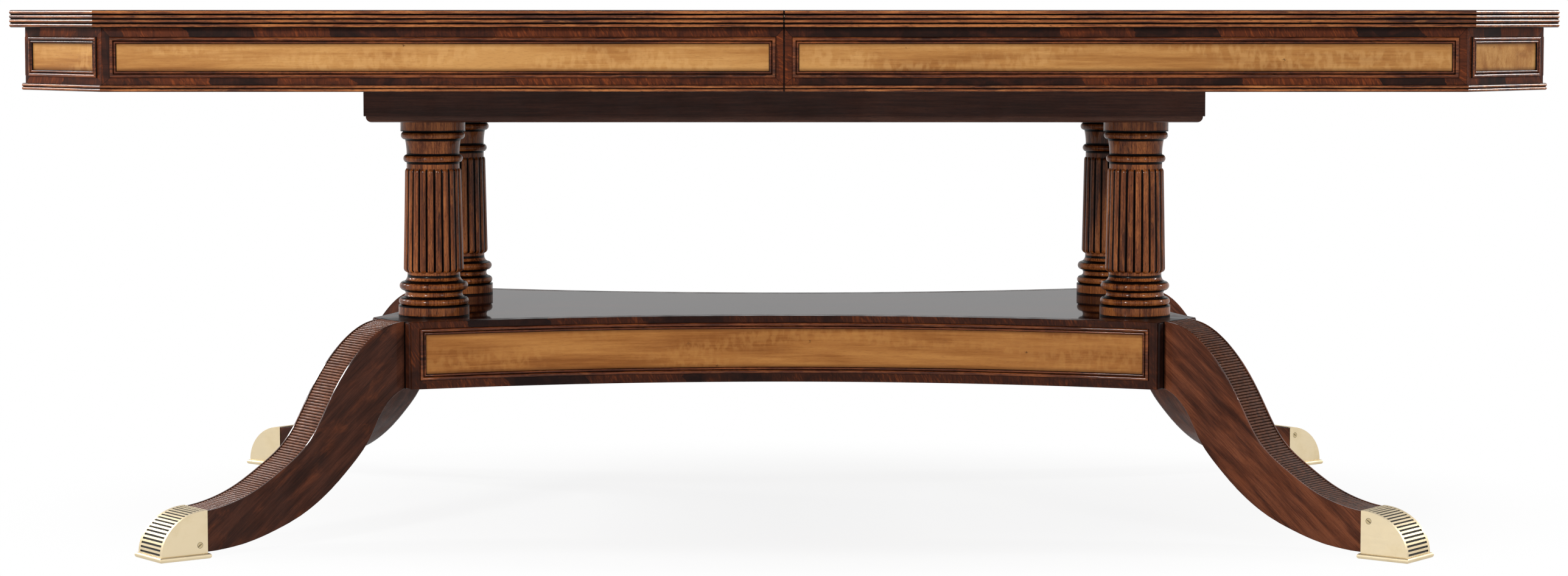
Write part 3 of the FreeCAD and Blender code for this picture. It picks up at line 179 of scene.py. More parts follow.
class Tree:
    """A node tree with short ways to add nodes and join them."""

    def __init__(self, tree):
        self.nodes = tree.nodes
        self.links = tree.links

    def feed(self, socket, value):
        """Join a socket to another, or give it a plain value."""
        if isinstance(value, bpy.types.NodeSocket):
            self.links.new(value, socket)
        else:
            socket.default_value = value

    def add(self, kind, sockets=None, **settings):
        """A new node with its settings and its inputs."""
        node = self.nodes.new(kind)
        for name, value in settings.items():
            setattr(node, name, value)
        for name, value in (sockets or {}).items():
            self.feed(node.inputs[name], value)
        return node

    def maths(self, operation, *values):
        """The result of one sum."""
        node = self.add("ShaderNodeMath", operation=operation)
        for socket, value in zip(node.inputs, values):
            self.feed(socket, value)
        return node.outputs[0]

    def weigh(self, first, share, second, other):
        """The sum of two numbers, each times its own share."""
        return self.maths("MULTIPLY_ADD", first, share, self.maths("MULTIPLY", second, other))

    def apart(self, value, middle):
        """How far a value is from another, either way."""
        return self.maths("ABSOLUTE", self.maths("SUBTRACT", value, middle))

    def inside(self, value, middle, half):
        """How far a value is from the nearer end of a stretch, given its middle and half its length."""
        return self.maths("SUBTRACT", half, self.apart(value, middle))

    def pick(self, share, first, second):
        """A number between two others."""
        node = self.add("ShaderNodeMix", {"Factor": share}, data_type="FLOAT")
        self.feed(node.inputs[2], first)
        self.feed(node.inputs[3], second)
        return node.outputs[0]

    def blend(self, share, first, second):
        """A colour between two others."""
        node = self.add("ShaderNodeMix", {"Factor": share}, data_type="RGBA")
        self.feed(node.inputs[6], first)
        self.feed(node.inputs[7], second)
        return node.outputs[2]

    def rise(self, value, low, high, start=0.0, stop=1.0):
        """A smooth step from start to stop while the value goes from low to high."""
        node = self.add("ShaderNodeMapRange", interpolation_type="SMOOTHSTEP")
        for name, given in (("Value", value), ("From Min", low), ("From Max", high),
                            ("To Min", start), ("To Max", stop)):
            self.feed(node.inputs[name], given)
        return node.outputs["Result"]

    def ramp(self, value, *stops):
        """Colours in a row, each at its own value."""
        node = self.add("ShaderNodeValToRGB", {"Fac": value})
        elements = node.color_ramp.elements
        while len(elements) < len(stops):
            elements.new(0.5)
        for element, (spot, colour) in zip(elements, stops):
            element.position = spot
            element.color = colour
        return node.outputs["Color"]

    def stretch(self, vector, scale):
        """A place scaled along each axis."""
        return self.add("ShaderNodeMapping", {"Vector": vector, "Scale": scale}).outputs["Vector"]

    def noise(self, vector, scale, detail=3.0, roughness=0.5, distortion=0.0):
        """A cloudy pattern between 0 and 1."""
        sockets = {"Vector": vector, "Scale": scale, "Detail": detail, "Roughness": roughness,
                   "Distortion": distortion}
        return self.add("ShaderNodeTexNoise", sockets).outputs["Fac"]

    def split(self, vector):
        """The three numbers of a place."""
        return self.add("ShaderNodeSeparateXYZ", {"Vector": vector}).outputs

    def merge(self, x, y, z):
        """A place from three numbers."""
        return self.add("ShaderNodeCombineXYZ", {"X": x, "Y": y, "Z": z}).outputs["Vector"]

    def group(self, tree, sockets):
        """The outputs of a node group with these inputs."""
        node = self.add("ShaderNodeGroup")
        node.node_tree = tree
        for name, value in sockets.items():
            self.feed(node.inputs[name], value)
        return node.outputs

    def place(self):
        """Where a point of the piece is, in the table's own frame."""
        return self.add("ShaderNodeTexCoord").outputs["Object"]

    def value_of(self, attribute):
        """A value kept on the points of the piece."""
        return self.add("ShaderNodeAttribute", attribute_name=attribute).outputs["Fac"]


def make_group(name, inputs, outputs):
    """An empty node group with its sockets, and its tree, inputs and outputs."""
    tree = bpy.data.node_groups.new(name, "ShaderNodeTree")
    for label, kind in inputs:
        tree.interface.new_socket(name=label, in_out="INPUT", socket_type=kind)
    for label, kind in outputs:
        tree.interface.new_socket(name=label, in_out="OUTPUT", socket_type=kind)
    drawn = Tree(tree)
    given = drawn.add("NodeGroupInput").outputs
    put = drawn.add("NodeGroupOutput").inputs
    return tree, drawn, given, put


def make_edge_run():
    """Where a point of the top's rim lies: along its side, in from the edge, and in its grain."""
    outputs = [("Run", FLOAT), ("Along", FLOAT), ("Inset", FLOAT), ("Place", VECTOR)]
    tree, drawn, given, put = make_group("edge run", [("Point", VECTOR)], outputs)
    x, y, z = drawn.split(given["Point"])
    wide = drawn.maths("ABSOLUTE", x)
    deep = drawn.maths("ABSOLUTE", y)
    from_end = drawn.maths("SUBTRACT", TOP_HALF_LENGTH, wide)
    from_side = drawn.maths("SUBTRACT", TOP_HALF_WIDTH, deep)
    diagonal = drawn.maths("SUBTRACT", CORNER_SUM, drawn.maths("ADD", wide, deep))
    from_corner = drawn.maths("MULTIPLY", diagonal, HALF_ROOT)
    nearest = drawn.maths("MINIMUM", from_end, from_side)
    on_end = drawn.maths("LESS_THAN", from_end, from_side)
    on_corner = drawn.maths("LESS_THAN", from_corner, nearest)
    corner_run = drawn.maths("MULTIPLY", drawn.maths("SUBTRACT", wide, deep), HALF_ROOT)
    run = drawn.pick(on_corner, drawn.pick(on_end, x, y), corner_run)
    facing = drawn.pick(on_corner, drawn.pick(on_end, y, x), drawn.maths("ADD", x, y))
    drawn.feed(put["Run"], run)
    drawn.feed(put["Along"], drawn.maths("MULTIPLY_ADD", facing, SIDE_SHIFT, run))
    drawn.feed(put["Inset"], drawn.maths("MINIMUM", nearest, from_corner))
    drawn.feed(put["Place"], drawn.merge(run, facing, z))
    return tree


def make_platform_run():
    """Where a point of the platform's sides lies: along its side, out from the face, in its grain."""
    outputs = [("Run", FLOAT), ("Along", FLOAT), ("Rise", FLOAT), ("Place", VECTOR)]
    tree, drawn, given, put = make_group("platform run", [("Point", VECTOR)], outputs)
    x, y, z = drawn.split(given["Point"])
    rises = []
    for (half_chord, corner, hollow), run, out in ((FRONT_HOLLOW, x, y), (END_HOLLOW, y, x)):
        radius = (half_chord ** 2 + hollow ** 2) / (2 * hollow)
        centre = corner - hollow + radius
        depth = drawn.maths("SUBTRACT", centre, drawn.maths("ABSOLUTE", out))
        square = drawn.weigh(depth, depth, run, run)
        rises.append(drawn.maths("SUBTRACT", radius, drawn.maths("SQRT", square)))
    on_end = drawn.maths("GREATER_THAN", rises[1], rises[0])
    run = drawn.pick(on_end, x, y)
    facing = drawn.pick(on_end, drawn.maths("SIGN", y), drawn.maths("SIGN", x))
    drawn.feed(put["Run"], run)
    drawn.feed(put["Along"], drawn.maths("MULTIPLY_ADD", facing, SIDE_SHIFT, run))
    drawn.feed(put["Rise"], drawn.maths("MAXIMUM", rises[0], rises[1]))
    drawn.feed(put["Place"], drawn.merge(run, facing, z))
    return tree


def make_leg_run():
    """Where a point of a leg or toe lies: out from the root, across the leg, and in its grain."""
    outputs = [("Out", FLOAT), ("Across", FLOAT), ("Place", VECTOR)]
    tree, drawn, given, put = make_group("leg run", [("Point", VECTOR)], outputs)
    x, y, z = drawn.split(given["Point"])
    east = drawn.maths("SUBTRACT", drawn.maths("ABSOLUTE", x), LEG_ROOT_X)
    north = drawn.maths("SUBTRACT", drawn.maths("ABSOLUTE", y), LEG_ROOT_Y)
    turn = (math.cos(LEG_ANGLE), math.sin(LEG_ANGLE))
    out = drawn.weigh(east, turn[0], north, turn[1])
    across = drawn.weigh(north, turn[0], east, -turn[1])
    tilt = (math.cos(LEG_SLOPE), math.sin(LEG_SLOPE))
    down = drawn.weigh(out, tilt[0], z, -tilt[1])
    up = drawn.weigh(out, tilt[1], z, tilt[0])
    which = drawn.maths("MULTIPLY_ADD", drawn.maths("SIGN", x), LEG_SHIFT, drawn.maths("SIGN", y))
    drawn.feed(put["Out"], out)
    drawn.feed(put["Across"], drawn.maths("ABSOLUTE", across))
    drawn.feed(put["Place"], drawn.merge(down, drawn.maths("ADD", across, which), up))
    return tree


def make_grain():
    """Fine streaks, broad figure and short dark pores of a wood whose grain runs along X."""
    outputs = [("Streaks", FLOAT), ("Figure", FLOAT), ("Pores", FLOAT)]
    tree, drawn, given, put = make_group("grain", [("Place", VECTOR)], outputs)
    broad = drawn.stretch(given["Place"], (3.5, 30, 30))
    drawn.feed(put["Figure"], drawn.noise(broad, 1.0, 4.0, 0.5, 0.5))
    fine = drawn.stretch(given["Place"], (13, 330, 330))
    drawn.feed(put["Streaks"], drawn.noise(fine, 1.0, 4.0, 0.6, 0.2))
    short = drawn.stretch(given["Place"], (110, 1500, 1500))
    drawn.feed(put["Pores"], drawn.rise(drawn.noise(short, 1.0, 2.0), 0.55, 0.68))
    return tree


def make_mottle():
    """Soft upright bars of lighter figure, in some places only; the grain runs along X."""
    tree, drawn, given, put = make_group("mottle", [("Place", VECTOR)], [("Mottle", FLOAT)])
    bars = drawn.noise(drawn.stretch(given["Place"], (110, 110, 62)), 1.0, 2.0, 0.5, 0.1)
    where = drawn.noise(drawn.stretch(given["Place"], (5, 5, 30)), 1.0, 3.0, 0.5, 0.4)
    shown = drawn.maths("MULTIPLY", drawn.rise(bars, 0.4, 0.62), drawn.rise(where, 0.4, 0.6))
    drawn.feed(put["Mottle"], shown)
    return tree


def make_patches():
    """Lengths of crossbanding laid end to end: how light each length is, and its wavy flames."""
    inputs = [("Along", FLOAT), ("Length", FLOAT), ("Place", VECTOR)]
    tree, drawn, given, put = make_group("patches", inputs, [("Tone", FLOAT), ("Flames", FLOAT)])
    x, y, z = drawn.split(given["Place"])
    waver = drawn.maths("SUBTRACT", drawn.noise(given["Place"], 45.0, 4.0, 0.6), 0.5)
    steps = drawn.maths("MULTIPLY_ADD", z, 5.0, drawn.maths("DIVIDE", given["Along"], given["Length"]))
    spot = drawn.maths("MULTIPLY_ADD", waver, 0.3, steps)
    cells = drawn.add("ShaderNodeTexVoronoi", {"W": spot, "Scale": 1.0}, voronoi_dimensions="1D")
    cell = drawn.add("ShaderNodeSeparateColor", {"Color": cells.outputs["Color"]}).outputs[0]
    cloud = drawn.noise(drawn.stretch(given["Place"], (26, 26, 40)), 1.0, 5.0, 0.6, 1.0)
    drawn.feed(put["Tone"], drawn.pick(0.58, cell, cloud))
    leaning = drawn.merge(drawn.maths("MULTIPLY_ADD", z, 0.5, x), y, z)
    drawn.feed(put["Flames"], drawn.noise(drawn.stretch(leaning, (170, 170, 34)), 1.0, 4.0, 0.6, 1.6))
    return tree


def make_marks():
    """A few small inky marks, as on old polished wood."""
    tree, drawn, given, put = make_group("marks", [("Place", VECTOR)], [("Marks", FLOAT)])
    spread = drawn.stretch(given["Place"], (22, 22, 30))
    cells = drawn.add("ShaderNodeTexVoronoi", {"Vector": spread, "Scale": 1.0})
    chance = drawn.add("ShaderNodeSeparateColor", {"Color": cells.outputs["Color"]}).outputs[0]
    curl = drawn.maths("SUBTRACT", drawn.noise(given["Place"], 700.0, 3.0), 0.5)
    near = drawn.maths("MULTIPLY_ADD", curl, 0.22, cells.outputs["Distance"])
    small = drawn.rise(near, 0.02, 0.06, 1.0, 0.0)
    drawn.feed(put["Marks"], drawn.maths("MULTIPLY", small, drawn.maths("GREATER_THAN", chance, 0.58)))
    return tree


def make_groove_glaze_and_shade():
    """Dark glaze left in a groove, with painted shade there too, uneven along it."""
    inputs = [("Groove", FLOAT), ("Place", VECTOR)]
    tree, drawn, given, put = make_group("groove_glaze_and_shade", inputs, [("Glaze and shade", FLOAT)])
    uneven = drawn.maths("MULTIPLY_ADD", drawn.noise(given["Place"], 110.0, 3.0), 0.6, -0.3)
    drawn.feed(put["Glaze and shade"], drawn.rise(drawn.maths("ADD", given["Groove"], uneven), 0.2, 0.8))
    return tree


def make_wear_and_highlight():
    """Crowns of a moulding painted lighter, in patches along it: partly rubbed by hands and cloths, partly
    painted highlight.
    """
    inputs = [("Groove", FLOAT), ("Place", VECTOR)]
    tree, drawn, given, put = make_group("wear_and_highlight", inputs, [("Wear and highlight", FLOAT)])
    rubbed = drawn.noise(drawn.stretch(given["Place"], (26, 120, 120)), 1.0, 5.0, 0.7, 0.4)
    crown = drawn.rise(given["Groove"], 0.0, 0.25, 1.0, 0.0)
    drawn.feed(put["Wear and highlight"], drawn.maths("MULTIPLY", crown, drawn.rise(rubbed, 0.48, 0.7)))
    return tree


def make_polish():
    """Slight unevenness of a hand-rubbed finish: where it is duller, and its height."""
    outputs = [("Dullness", FLOAT), ("Height", FLOAT)]
    tree, drawn, given, put = make_group("polish", [("Place", VECTOR)], outputs)
    drawn.feed(put["Dullness"], drawn.noise(given["Place"], 24.0, 4.0, 0.6))
    drawn.feed(put["Height"], drawn.noise(given["Place"], 55.0, 2.0))
    return tree


edge_run = make_edge_run()
platform_run = make_platform_run()
leg_run = make_leg_run()
grain = make_grain()
mottle = make_mottle()
patches = make_patches()
marks = make_marks()
groove_glaze_and_shade = make_groove_glaze_and_shade()
wear_and_highlight = make_wear_and_highlight()
polish = make_polish()


def bare_material(name):
    """A material with an empty node tree."""
    material = bpy.data.materials.new(name)
    material.use_nodes = True
    material.node_tree.nodes.clear()
    return material, Tree(material.node_tree)


def start_material(name):
    """A material with a shader that is ready for its colours."""
    material, drawn = bare_material(name)
    shader = drawn.add("ShaderNodeBsdfPrincipled")
    drawn.add("ShaderNodeOutputMaterial", {"Surface": shader.outputs["BSDF"]})
    return material, drawn, shader


def raise_surface(drawn, shader, height, strength, distance):
    """Let a height stand out from the surface."""
    raised = drawn.add("ShaderNodeBump", {"Height": height, "Strength": strength, "Distance": distance})
    drawn.feed(shader.inputs["Normal"], raised.outputs["Normal"])


def lay_polish(drawn, shader, colour, height, coat, dull=(0.3, 0.45), coat_dull=0.1, gloss=None):
    """Give a wood its colour and its rubbed finish over the given height of grain or grooves."""
    rubbed = drawn.group(polish, {"Place": drawn.place()})
    shine = drawn.rise(rubbed["Dullness"], *DULLNESS, coat[1], coat[0])
    if gloss is not None:
        shine = drawn.maths("MULTIPLY_ADD", gloss, 0.5, shine)
    drawn.feed(shader.inputs["Base Color"], colour)
    drawn.feed(shader.inputs["Roughness"], drawn.rise(rubbed["Dullness"], *DULLNESS, *dull))
    drawn.feed(shader.inputs["Coat Weight"], shine)
    shader.inputs["Specular IOR Level"].default_value = 0.04
    shader.inputs["Coat Roughness"].default_value = coat_dull
    level = drawn.maths("MULTIPLY_ADD", rubbed["Height"], 0.6, height)
    raise_surface(drawn, shader, level, 0.25, 0.0004)


def crown_gloss(drawn, groove, amount):
    """Polish on the crowns of a moulding and none in its grooves."""
    return drawn.rise(groove, 0.1, 0.6, amount, 0.0)


def joint_line(drawn, point):
    """Dirt along the joint where the half tops meet."""
    return drawn.rise(drawn.maths("ABSOLUTE", drawn.split(point)["X"]), *JOINT_DIRT, 1.0, 0.0)


def upright(drawn, place):
    """Turn a place so that its grain runs up and down."""
    x, y, z = drawn.split(place)
    return drawn.merge(z, x, y)


def wood_colour(drawn, place, colours, streaky=0.5, size=1.0, pores=0.6):
    """The body colour of a wood from its grain, with the height of its fibres."""
    dark, middle, light, pore = colours
    fibre = drawn.group(grain, {"Place": drawn.stretch(place, (1 / size, 1 / size, 1 / size))})
    tone = drawn.pick(streaky, fibre["Figure"], fibre["Streaks"])
    body = drawn.ramp(tone, (0.38, dark), (0.5, middle), (0.62, light))
    body = drawn.blend(drawn.maths("MULTIPLY", fibre["Pores"], pores), body, pore)
    return body, drawn.maths("SUBTRACT", fibre["Streaks"], fibre["Pores"])


def satinwood(name, run, middle, half, colours, shine):
    """Honey panels with soft streaks, blocks of figure, small dark marks and toned edges."""
    material, drawn, shader = start_material(name)
    spot = drawn.group(run, {"Point": drawn.place()})
    place = spot["Place"]
    body, height = wood_colour(drawn, place, colours, streaky=0.3, size=0.9, pores=0.25)
    figured = drawn.group(mottle, {"Place": place})["Mottle"]
    body = drawn.blend(drawn.maths("MULTIPLY", figured, 0.34), body, shine)
    inky = drawn.group(marks, {"Place": place})["Marks"]
    body = drawn.blend(drawn.maths("MULTIPLY", inky, 0.75), body, tint(58, 34, 20))
    from_side = drawn.inside(drawn.split(place)["Z"], middle, half)
    from_end = drawn.inside(spot["Run"], drawn.value_of("panel_middle"), drawn.value_of("panel_half"))
    toned = drawn.rise(drawn.maths("MINIMUM", from_side, from_end), 0.0, TONED_EDGE, 0.65, 0.0)
    body = drawn.blend(toned, body, tint(88, 48, 20))
    lay_polish(drawn, shader, body, height, (0.06, 0.12), dull=(0.35, 0.5))
    return material


def mitred_border(drawn, spot):
    """Turn the veneer in the upright ends of a border, with a fine seam at each mitre."""
    run, facing, level = drawn.split(spot["Place"])
    below, above, aside = BORDER_WIDTHS
    from_end = drawn.inside(spot["Run"], drawn.value_of("panel_middle"), drawn.value_of("panel_half"))
    from_low = drawn.maths("DIVIDE", drawn.maths("SUBTRACT", level, BORDER_LOW), below)
    from_high = drawn.maths("DIVIDE", drawn.maths("SUBTRACT", BORDER_HIGH, level), above)
    past = drawn.maths("MULTIPLY_ADD", from_end, -1 / aside, drawn.maths("MINIMUM", from_low, from_high))
    turned = drawn.maths("GREATER_THAN", past, 0.0)
    place = drawn.merge(drawn.pick(turned, run, level), facing, drawn.pick(turned, level, run))
    along = drawn.pick(turned, spot["Along"], drawn.maths("MULTIPLY_ADD", run, END_SHIFT, level))
    on_mitre = drawn.rise(drawn.maths("ABSOLUTE", past), 0.03, 0.09, 0.6, 0.0)
    in_end = drawn.maths("LESS_THAN", from_end, aside * 1.1)
    return along, place, drawn.maths("MULTIPLY", on_mitre, in_end)


def crossbanding(name, run, length, colours, channel_shade=False, mitred=False):
    """Mahogany laid across its border in short lengths, some nearly black and some red with flames."""
    material, drawn, shader = start_material(name)
    point = drawn.place()
    spot = drawn.group(run, {"Point": point})
    along, place = spot["Along"], spot["Place"]
    if mitred:
        along, place, seam = mitred_border(drawn, spot)
    laid = drawn.group(patches, {"Along": along, "Length": length, "Place": place})
    fibre = drawn.group(grain, {"Place": upright(drawn, place)})
    black, brown, red, flame = colours
    body = drawn.ramp(laid["Tone"], (0.3, black), (0.42, brown), (0.6, red))
    light = drawn.rise(laid["Tone"], 0.4, 0.65)
    flaming = drawn.maths("MULTIPLY", light, drawn.rise(laid["Flames"], 0.48, 0.68))
    body = drawn.blend(drawn.maths("MULTIPLY", flaming, 0.75), body, flame)
    streaks = drawn.rise(fibre["Streaks"], 0.35, 0.55, 0.45, 0.0)
    body = drawn.blend(streaks, body, black)
    # Painted shade: the recess between the leg and the post strip goes near black
    if channel_shade:
        across = drawn.group(leg_run, {"Point": point})["Across"]
        body = drawn.blend(drawn.rise(across, *CHANNEL_SHADE, 1.0, 0.0), body, tint(12, 6, 5))
    if mitred:
        dirt_and_shade = drawn.maths("MAXIMUM", seam, joint_line(drawn, point))
        body = drawn.blend(dirt_and_shade, body, tint(10, 5, 4))
    lay_polish(drawn, shader, body, fibre["Streaks"], (0.04, 0.08))
    return material


def glazed_and_shaded(drawn, body, groove, place, glaze_and_shade_colour, rubbed=None):
    """Lay dark glaze and painted shade in a moulding's grooves, and paint its crowns lighter, as wear and
    painted highlight, if given a colour.
    """
    if rubbed:
        # Lighter crowns: wear and painted highlight
        worn = drawn.group(wear_and_highlight, {"Groove": groove, "Place": place})["Wear and highlight"]
        body = drawn.blend(drawn.maths("MULTIPLY", worn, 0.5), body, rubbed)
    # Dark grooves: glaze and painted shade
    dirt_and_shade = drawn.group(groove_glaze_and_shade, {"Groove": groove, "Place": place})["Glaze and shade"]
    return drawn.blend(dirt_and_shade, body, glaze_and_shade_colour)


def rim_wood(name, crown, depth):
    """Reeds or beads round the rim of the top: streaked brown with dark glaze and painted shade between
    them, and crowns lighter from wear and painted highlight.
    """
    material, drawn, shader = start_material(name)
    point = drawn.place()
    spot = drawn.group(edge_run, {"Point": point})
    colours = (tint(52, 22, 10), tint(120, 64, 30), tint(172, 106, 56), tint(26, 11, 6))
    body, height = wood_colour(drawn, spot["Place"], colours, streaky=0.55, size=0.8, pores=0.8)
    deep = drawn.rise(spot["Inset"], crown + depth * 0.06, crown + depth * 0.5)
    on_side = drawn.maths("LESS_THAN", drawn.split(spot["Place"])["Z"], TOP_LEVEL - 2 * HAIR)
    groove = drawn.maths("MAXIMUM", drawn.maths("MULTIPLY", deep, on_side), joint_line(drawn, point))
    # Near black between the reeds is glaze and painted shade; the lighter crowns are wear and painted
    # highlight
    body = glazed_and_shaded(drawn, body, groove, spot["Place"], tint(10, 5, 3), tint(178, 114, 64))
    gloss = crown_gloss(drawn, groove, 0.7)
    lay_polish(drawn, shader, body, height, MOULDING_COAT, MOULDING_DULL, 0.07, gloss)
    return material


def panel_beading(name, run):
    """The double bead round a panel, dark with glaze and painted shade in its valley and along its foot."""
    material, drawn, shader = start_material(name)
    spot = drawn.group(run, {"Point": drawn.place()})
    colours = (tint(38, 16, 8), tint(82, 38, 19), tint(130, 70, 34), tint(20, 9, 5))
    body, height = wood_colour(drawn, spot["Place"], colours, streaky=0.55, size=0.8, pores=0.8)
    if run == platform_run:
        out = spot["Rise"]
    else:
        out = drawn.maths("SUBTRACT", APRON_SETBACK, spot["Inset"])
    groove = drawn.rise(out, BEAD_RISE * 0.35, BEAD_RISE * 0.95, 1.0, 0.0)
    # Glaze and painted shade in the valley and at the foot; lighter crowns are wear and painted highlight
    body = glazed_and_shaded(drawn, body, groove, spot["Place"], tint(10, 5, 3), tint(146, 84, 44))
    gloss = crown_gloss(drawn, groove, 0.6)
    lay_polish(drawn, shader, body, height, MOULDING_COAT, MOULDING_DULL, 0.07, gloss)
    return material


def column_mahogany():
    """Turned and reeded columns with upright grain, and dark glaze and painted shade between the reeds and
    at the rings.
    """
    material, drawn, shader = start_material("column mahogany")
    point = drawn.place()
    x, y, z = drawn.split(point)
    colours = (tint(54, 24, 11), tint(108, 56, 27), tint(156, 92, 47), tint(20, 9, 5))
    body, height = wood_colour(drawn, upright(drawn, point), colours, size=0.7, pores=0.85)
    east = drawn.maths("SUBTRACT", drawn.maths("ABSOLUTE", x), COLUMN_X)
    north = drawn.maths("SUBTRACT", drawn.maths("ABSOLUTE", y), COLUMN_Y)
    angle = drawn.maths("ARCTAN2", north, east)
    wave = drawn.maths("COSINE", drawn.maths("MULTIPLY", angle, COLUMN_REEDS))
    on_shaft = drawn.maths("MULTIPLY", drawn.rise(z, SHAFT_FOOT, SHAFT_FOOT + SHAFT_FADE),
                           drawn.rise(z, SHAFT_HEAD - SHAFT_FADE, SHAFT_HEAD, 1.0, 0.0))
    groove = drawn.maths("MULTIPLY", drawn.rise(wave, 0.3, 0.95), on_shaft)
    # Glaze and painted shade in the recesses at each ring
    for level in RING_LEVELS:
        dirt_and_shade = drawn.rise(drawn.apart(z, level), *RING_GLAZE_AND_SHADE, 1.0, 0.0)
        groove = drawn.maths("MAXIMUM", groove, dirt_and_shade)
    # Black between reeds and at rings is glaze and painted shade; lighter crowns are wear and painted
    # highlight
    body = glazed_and_shaded(drawn, body, groove, upright(drawn, point), tint(9, 4, 3), tint(164, 98, 52))
    gloss = crown_gloss(drawn, groove, 0.42)
    lay_polish(drawn, shader, body, height, MOULDING_COAT, MOULDING_DULL, 0.06, gloss)
    return material


def leg_mahogany():
    """Legs with soft flames, browner left and redder right, and black glaze and painted shade between their
    ribs. The lighter, redder sides of the right legs are painted light, and their darker ribs painted
    shade.
    """
    material, drawn, shader = start_material("leg mahogany")
    point = drawn.place()
    spot = drawn.group(leg_run, {"Point": point})
    place = spot["Place"]
    brown = (tint(42, 24, 18), tint(60, 34, 25), tint(78, 45, 33), tint(30, 17, 13))
    red = (tint(54, 27, 17), tint(88, 47, 30), tint(120, 68, 44), tint(38, 19, 13))
    body, height = wood_colour(drawn, place, brown, streaky=0.35, size=0.45, pores=0.5)
    # Painted light: the right legs get a lighter, redder copy of the wood
    lit_redder, _ = wood_colour(drawn, place, red, streaky=0.35, size=0.45, pores=0.5)
    right_legs_lit_and_shaded = drawn.maths("GREATER_THAN", drawn.split(point)["X"], 0.0)
    body = drawn.blend(right_legs_lit_and_shaded, body, lit_redder)
    flames = drawn.noise(drawn.stretch(place, (16, 48, 48)), 1.0, 8.0, 0.68, 0.5)
    body = drawn.blend(drawn.rise(flames, 0.48, 0.74, 0.0, 0.5), body, tint(122, 66, 40))
    speckle = drawn.noise(place, 140.0, 3.0, 0.6)
    # Rib crowns: lit salmon on the left legs, a darker tan on the right as painted shade
    lit_salmon = drawn.ramp(speckle, (0.35, tint(88, 52, 36)), (0.65, tint(124, 78, 55)))
    shaded_tan = drawn.ramp(speckle, (0.35, tint(58, 33, 21)), (0.65, tint(104, 62, 40)))
    ribs = drawn.blend(right_legs_lit_and_shaded, lit_salmon, shaded_tan)
    on_rib = drawn.value_of("ribs")
    body = drawn.blend(drawn.maths("MULTIPLY", on_rib, 0.9), body, ribs)
    # Black glaze and painted shade between the ribs
    groove = drawn.value_of("groove")
    body = glazed_and_shaded(drawn, body, groove, place, tint(9, 5, 4))
    past_ribs = drawn.rise(spot["Across"], LEG_INNER_HALF, LEG_INNER_HALF + 3 * HAIR)
    off_side = drawn.rise(spot["Across"], LEG_HALF_WIDTH - 4 * HAIR, LEG_HALF_WIDTH - HAIR, 1.0, 0.0)
    on_rim = drawn.maths("MULTIPLY", past_ribs, off_side)
    crown = drawn.maths("MULTIPLY", on_rib, drawn.rise(groove, 0.15, 0.6, 0.14, 0.0))
    gloss = drawn.maths("MAXIMUM", crown, on_rim)
    lay_polish(drawn, shader, body, height, (0.05, 0.1), coat_dull=0.07, gloss=gloss)
    return material


def top_mahogany():
    """The polished top: long figured boards inside a crossbanded border and a line of pale stringing."""
    material, drawn, shader = start_material("top mahogany")
    point = drawn.place()
    spot = drawn.group(edge_run, {"Point": point})
    colours = (tint(62, 29, 16), tint(98, 49, 27), tint(134, 75, 43), tint(34, 16, 10))
    field, height = wood_colour(drawn, point, colours)
    run, facing, level = drawn.split(spot["Place"])
    across = drawn.merge(spot["Inset"], run, drawn.maths("SIGN", facing))
    colours = (tint(44, 19, 12), tint(80, 37, 21), tint(122, 64, 35), tint(28, 13, 9))
    border, border_height = wood_colour(drawn, across, colours, size=0.8)
    above = drawn.maths("GREATER_THAN", level, UPPER_FACE)
    in_field = drawn.rise(spot["Inset"], STRINGING_INSET - 2 * HAIR, STRINGING_INSET + 2 * HAIR)
    unbanded = drawn.maths("MAXIMUM", in_field, drawn.maths("SUBTRACT", 1.0, above))
    body = drawn.blend(unbanded, border, field)
    from_line = drawn.apart(spot["Inset"], STRINGING_INSET)
    on_line = drawn.rise(from_line, STRINGING_HALF, STRINGING_HALF + 3 * HAIR, 1.0, 0.0)
    string = drawn.maths("MULTIPLY", on_line, above)
    body = drawn.blend(string, body, tint(190, 138, 76))
    fibres = drawn.pick(in_field, border_height, height)
    gloss = drawn.maths("MULTIPLY", above, 0.5)
    lay_polish(drawn, shader, body, fibres, (0.0, 0.02), coat_dull=0.06, gloss=gloss)
    return material


def platform_mahogany():
    """The platform's dark top, polished until it mirrors."""
    material, drawn, shader = start_material("platform mahogany")
    colours = (tint(32, 16, 12), tint(54, 27, 19), tint(78, 41, 27), tint(24, 11, 9))
    body, height = wood_colour(drawn, drawn.place(), colours)
    rubbed = drawn.group(polish, {"Place": drawn.place()})
    drawn.feed(shader.inputs["Base Color"], body)
    drawn.feed(shader.inputs["Roughness"], drawn.rise(rubbed["Dullness"], *DULLNESS, 0.3, 0.45))
    raise_surface(drawn, shader, height, 0.05, 0.0002)
    shader.inputs["Specular IOR Level"].default_value = 0.0
    shader.inputs["Coat Weight"].default_value = 0.42
    shader.inputs["Coat Roughness"].default_value = 0.03
    return material


def bearer_wood(name, colours):
    """The plain, nearly black wood of the box under the top."""
    material, drawn, shader = start_material(name)
    body, height = wood_colour(drawn, drawn.place(), colours, pores=0.4)
    lay_polish(drawn, shader, body, height, (0.12, 0.18))
    return material


def beech():
    """Pale hardwood of the slides, waxed and unpolished."""
    material, drawn, shader = start_material("beech")
    colours = (tint(172, 126, 84), tint(196, 152, 108), tint(212, 172, 128), tint(140, 96, 60))
    body, height = wood_colour(drawn, drawn.place(), colours)
    lay_polish(drawn, shader, body, height, (0.0, 0.02), dull=(0.5, 0.65))
    return material


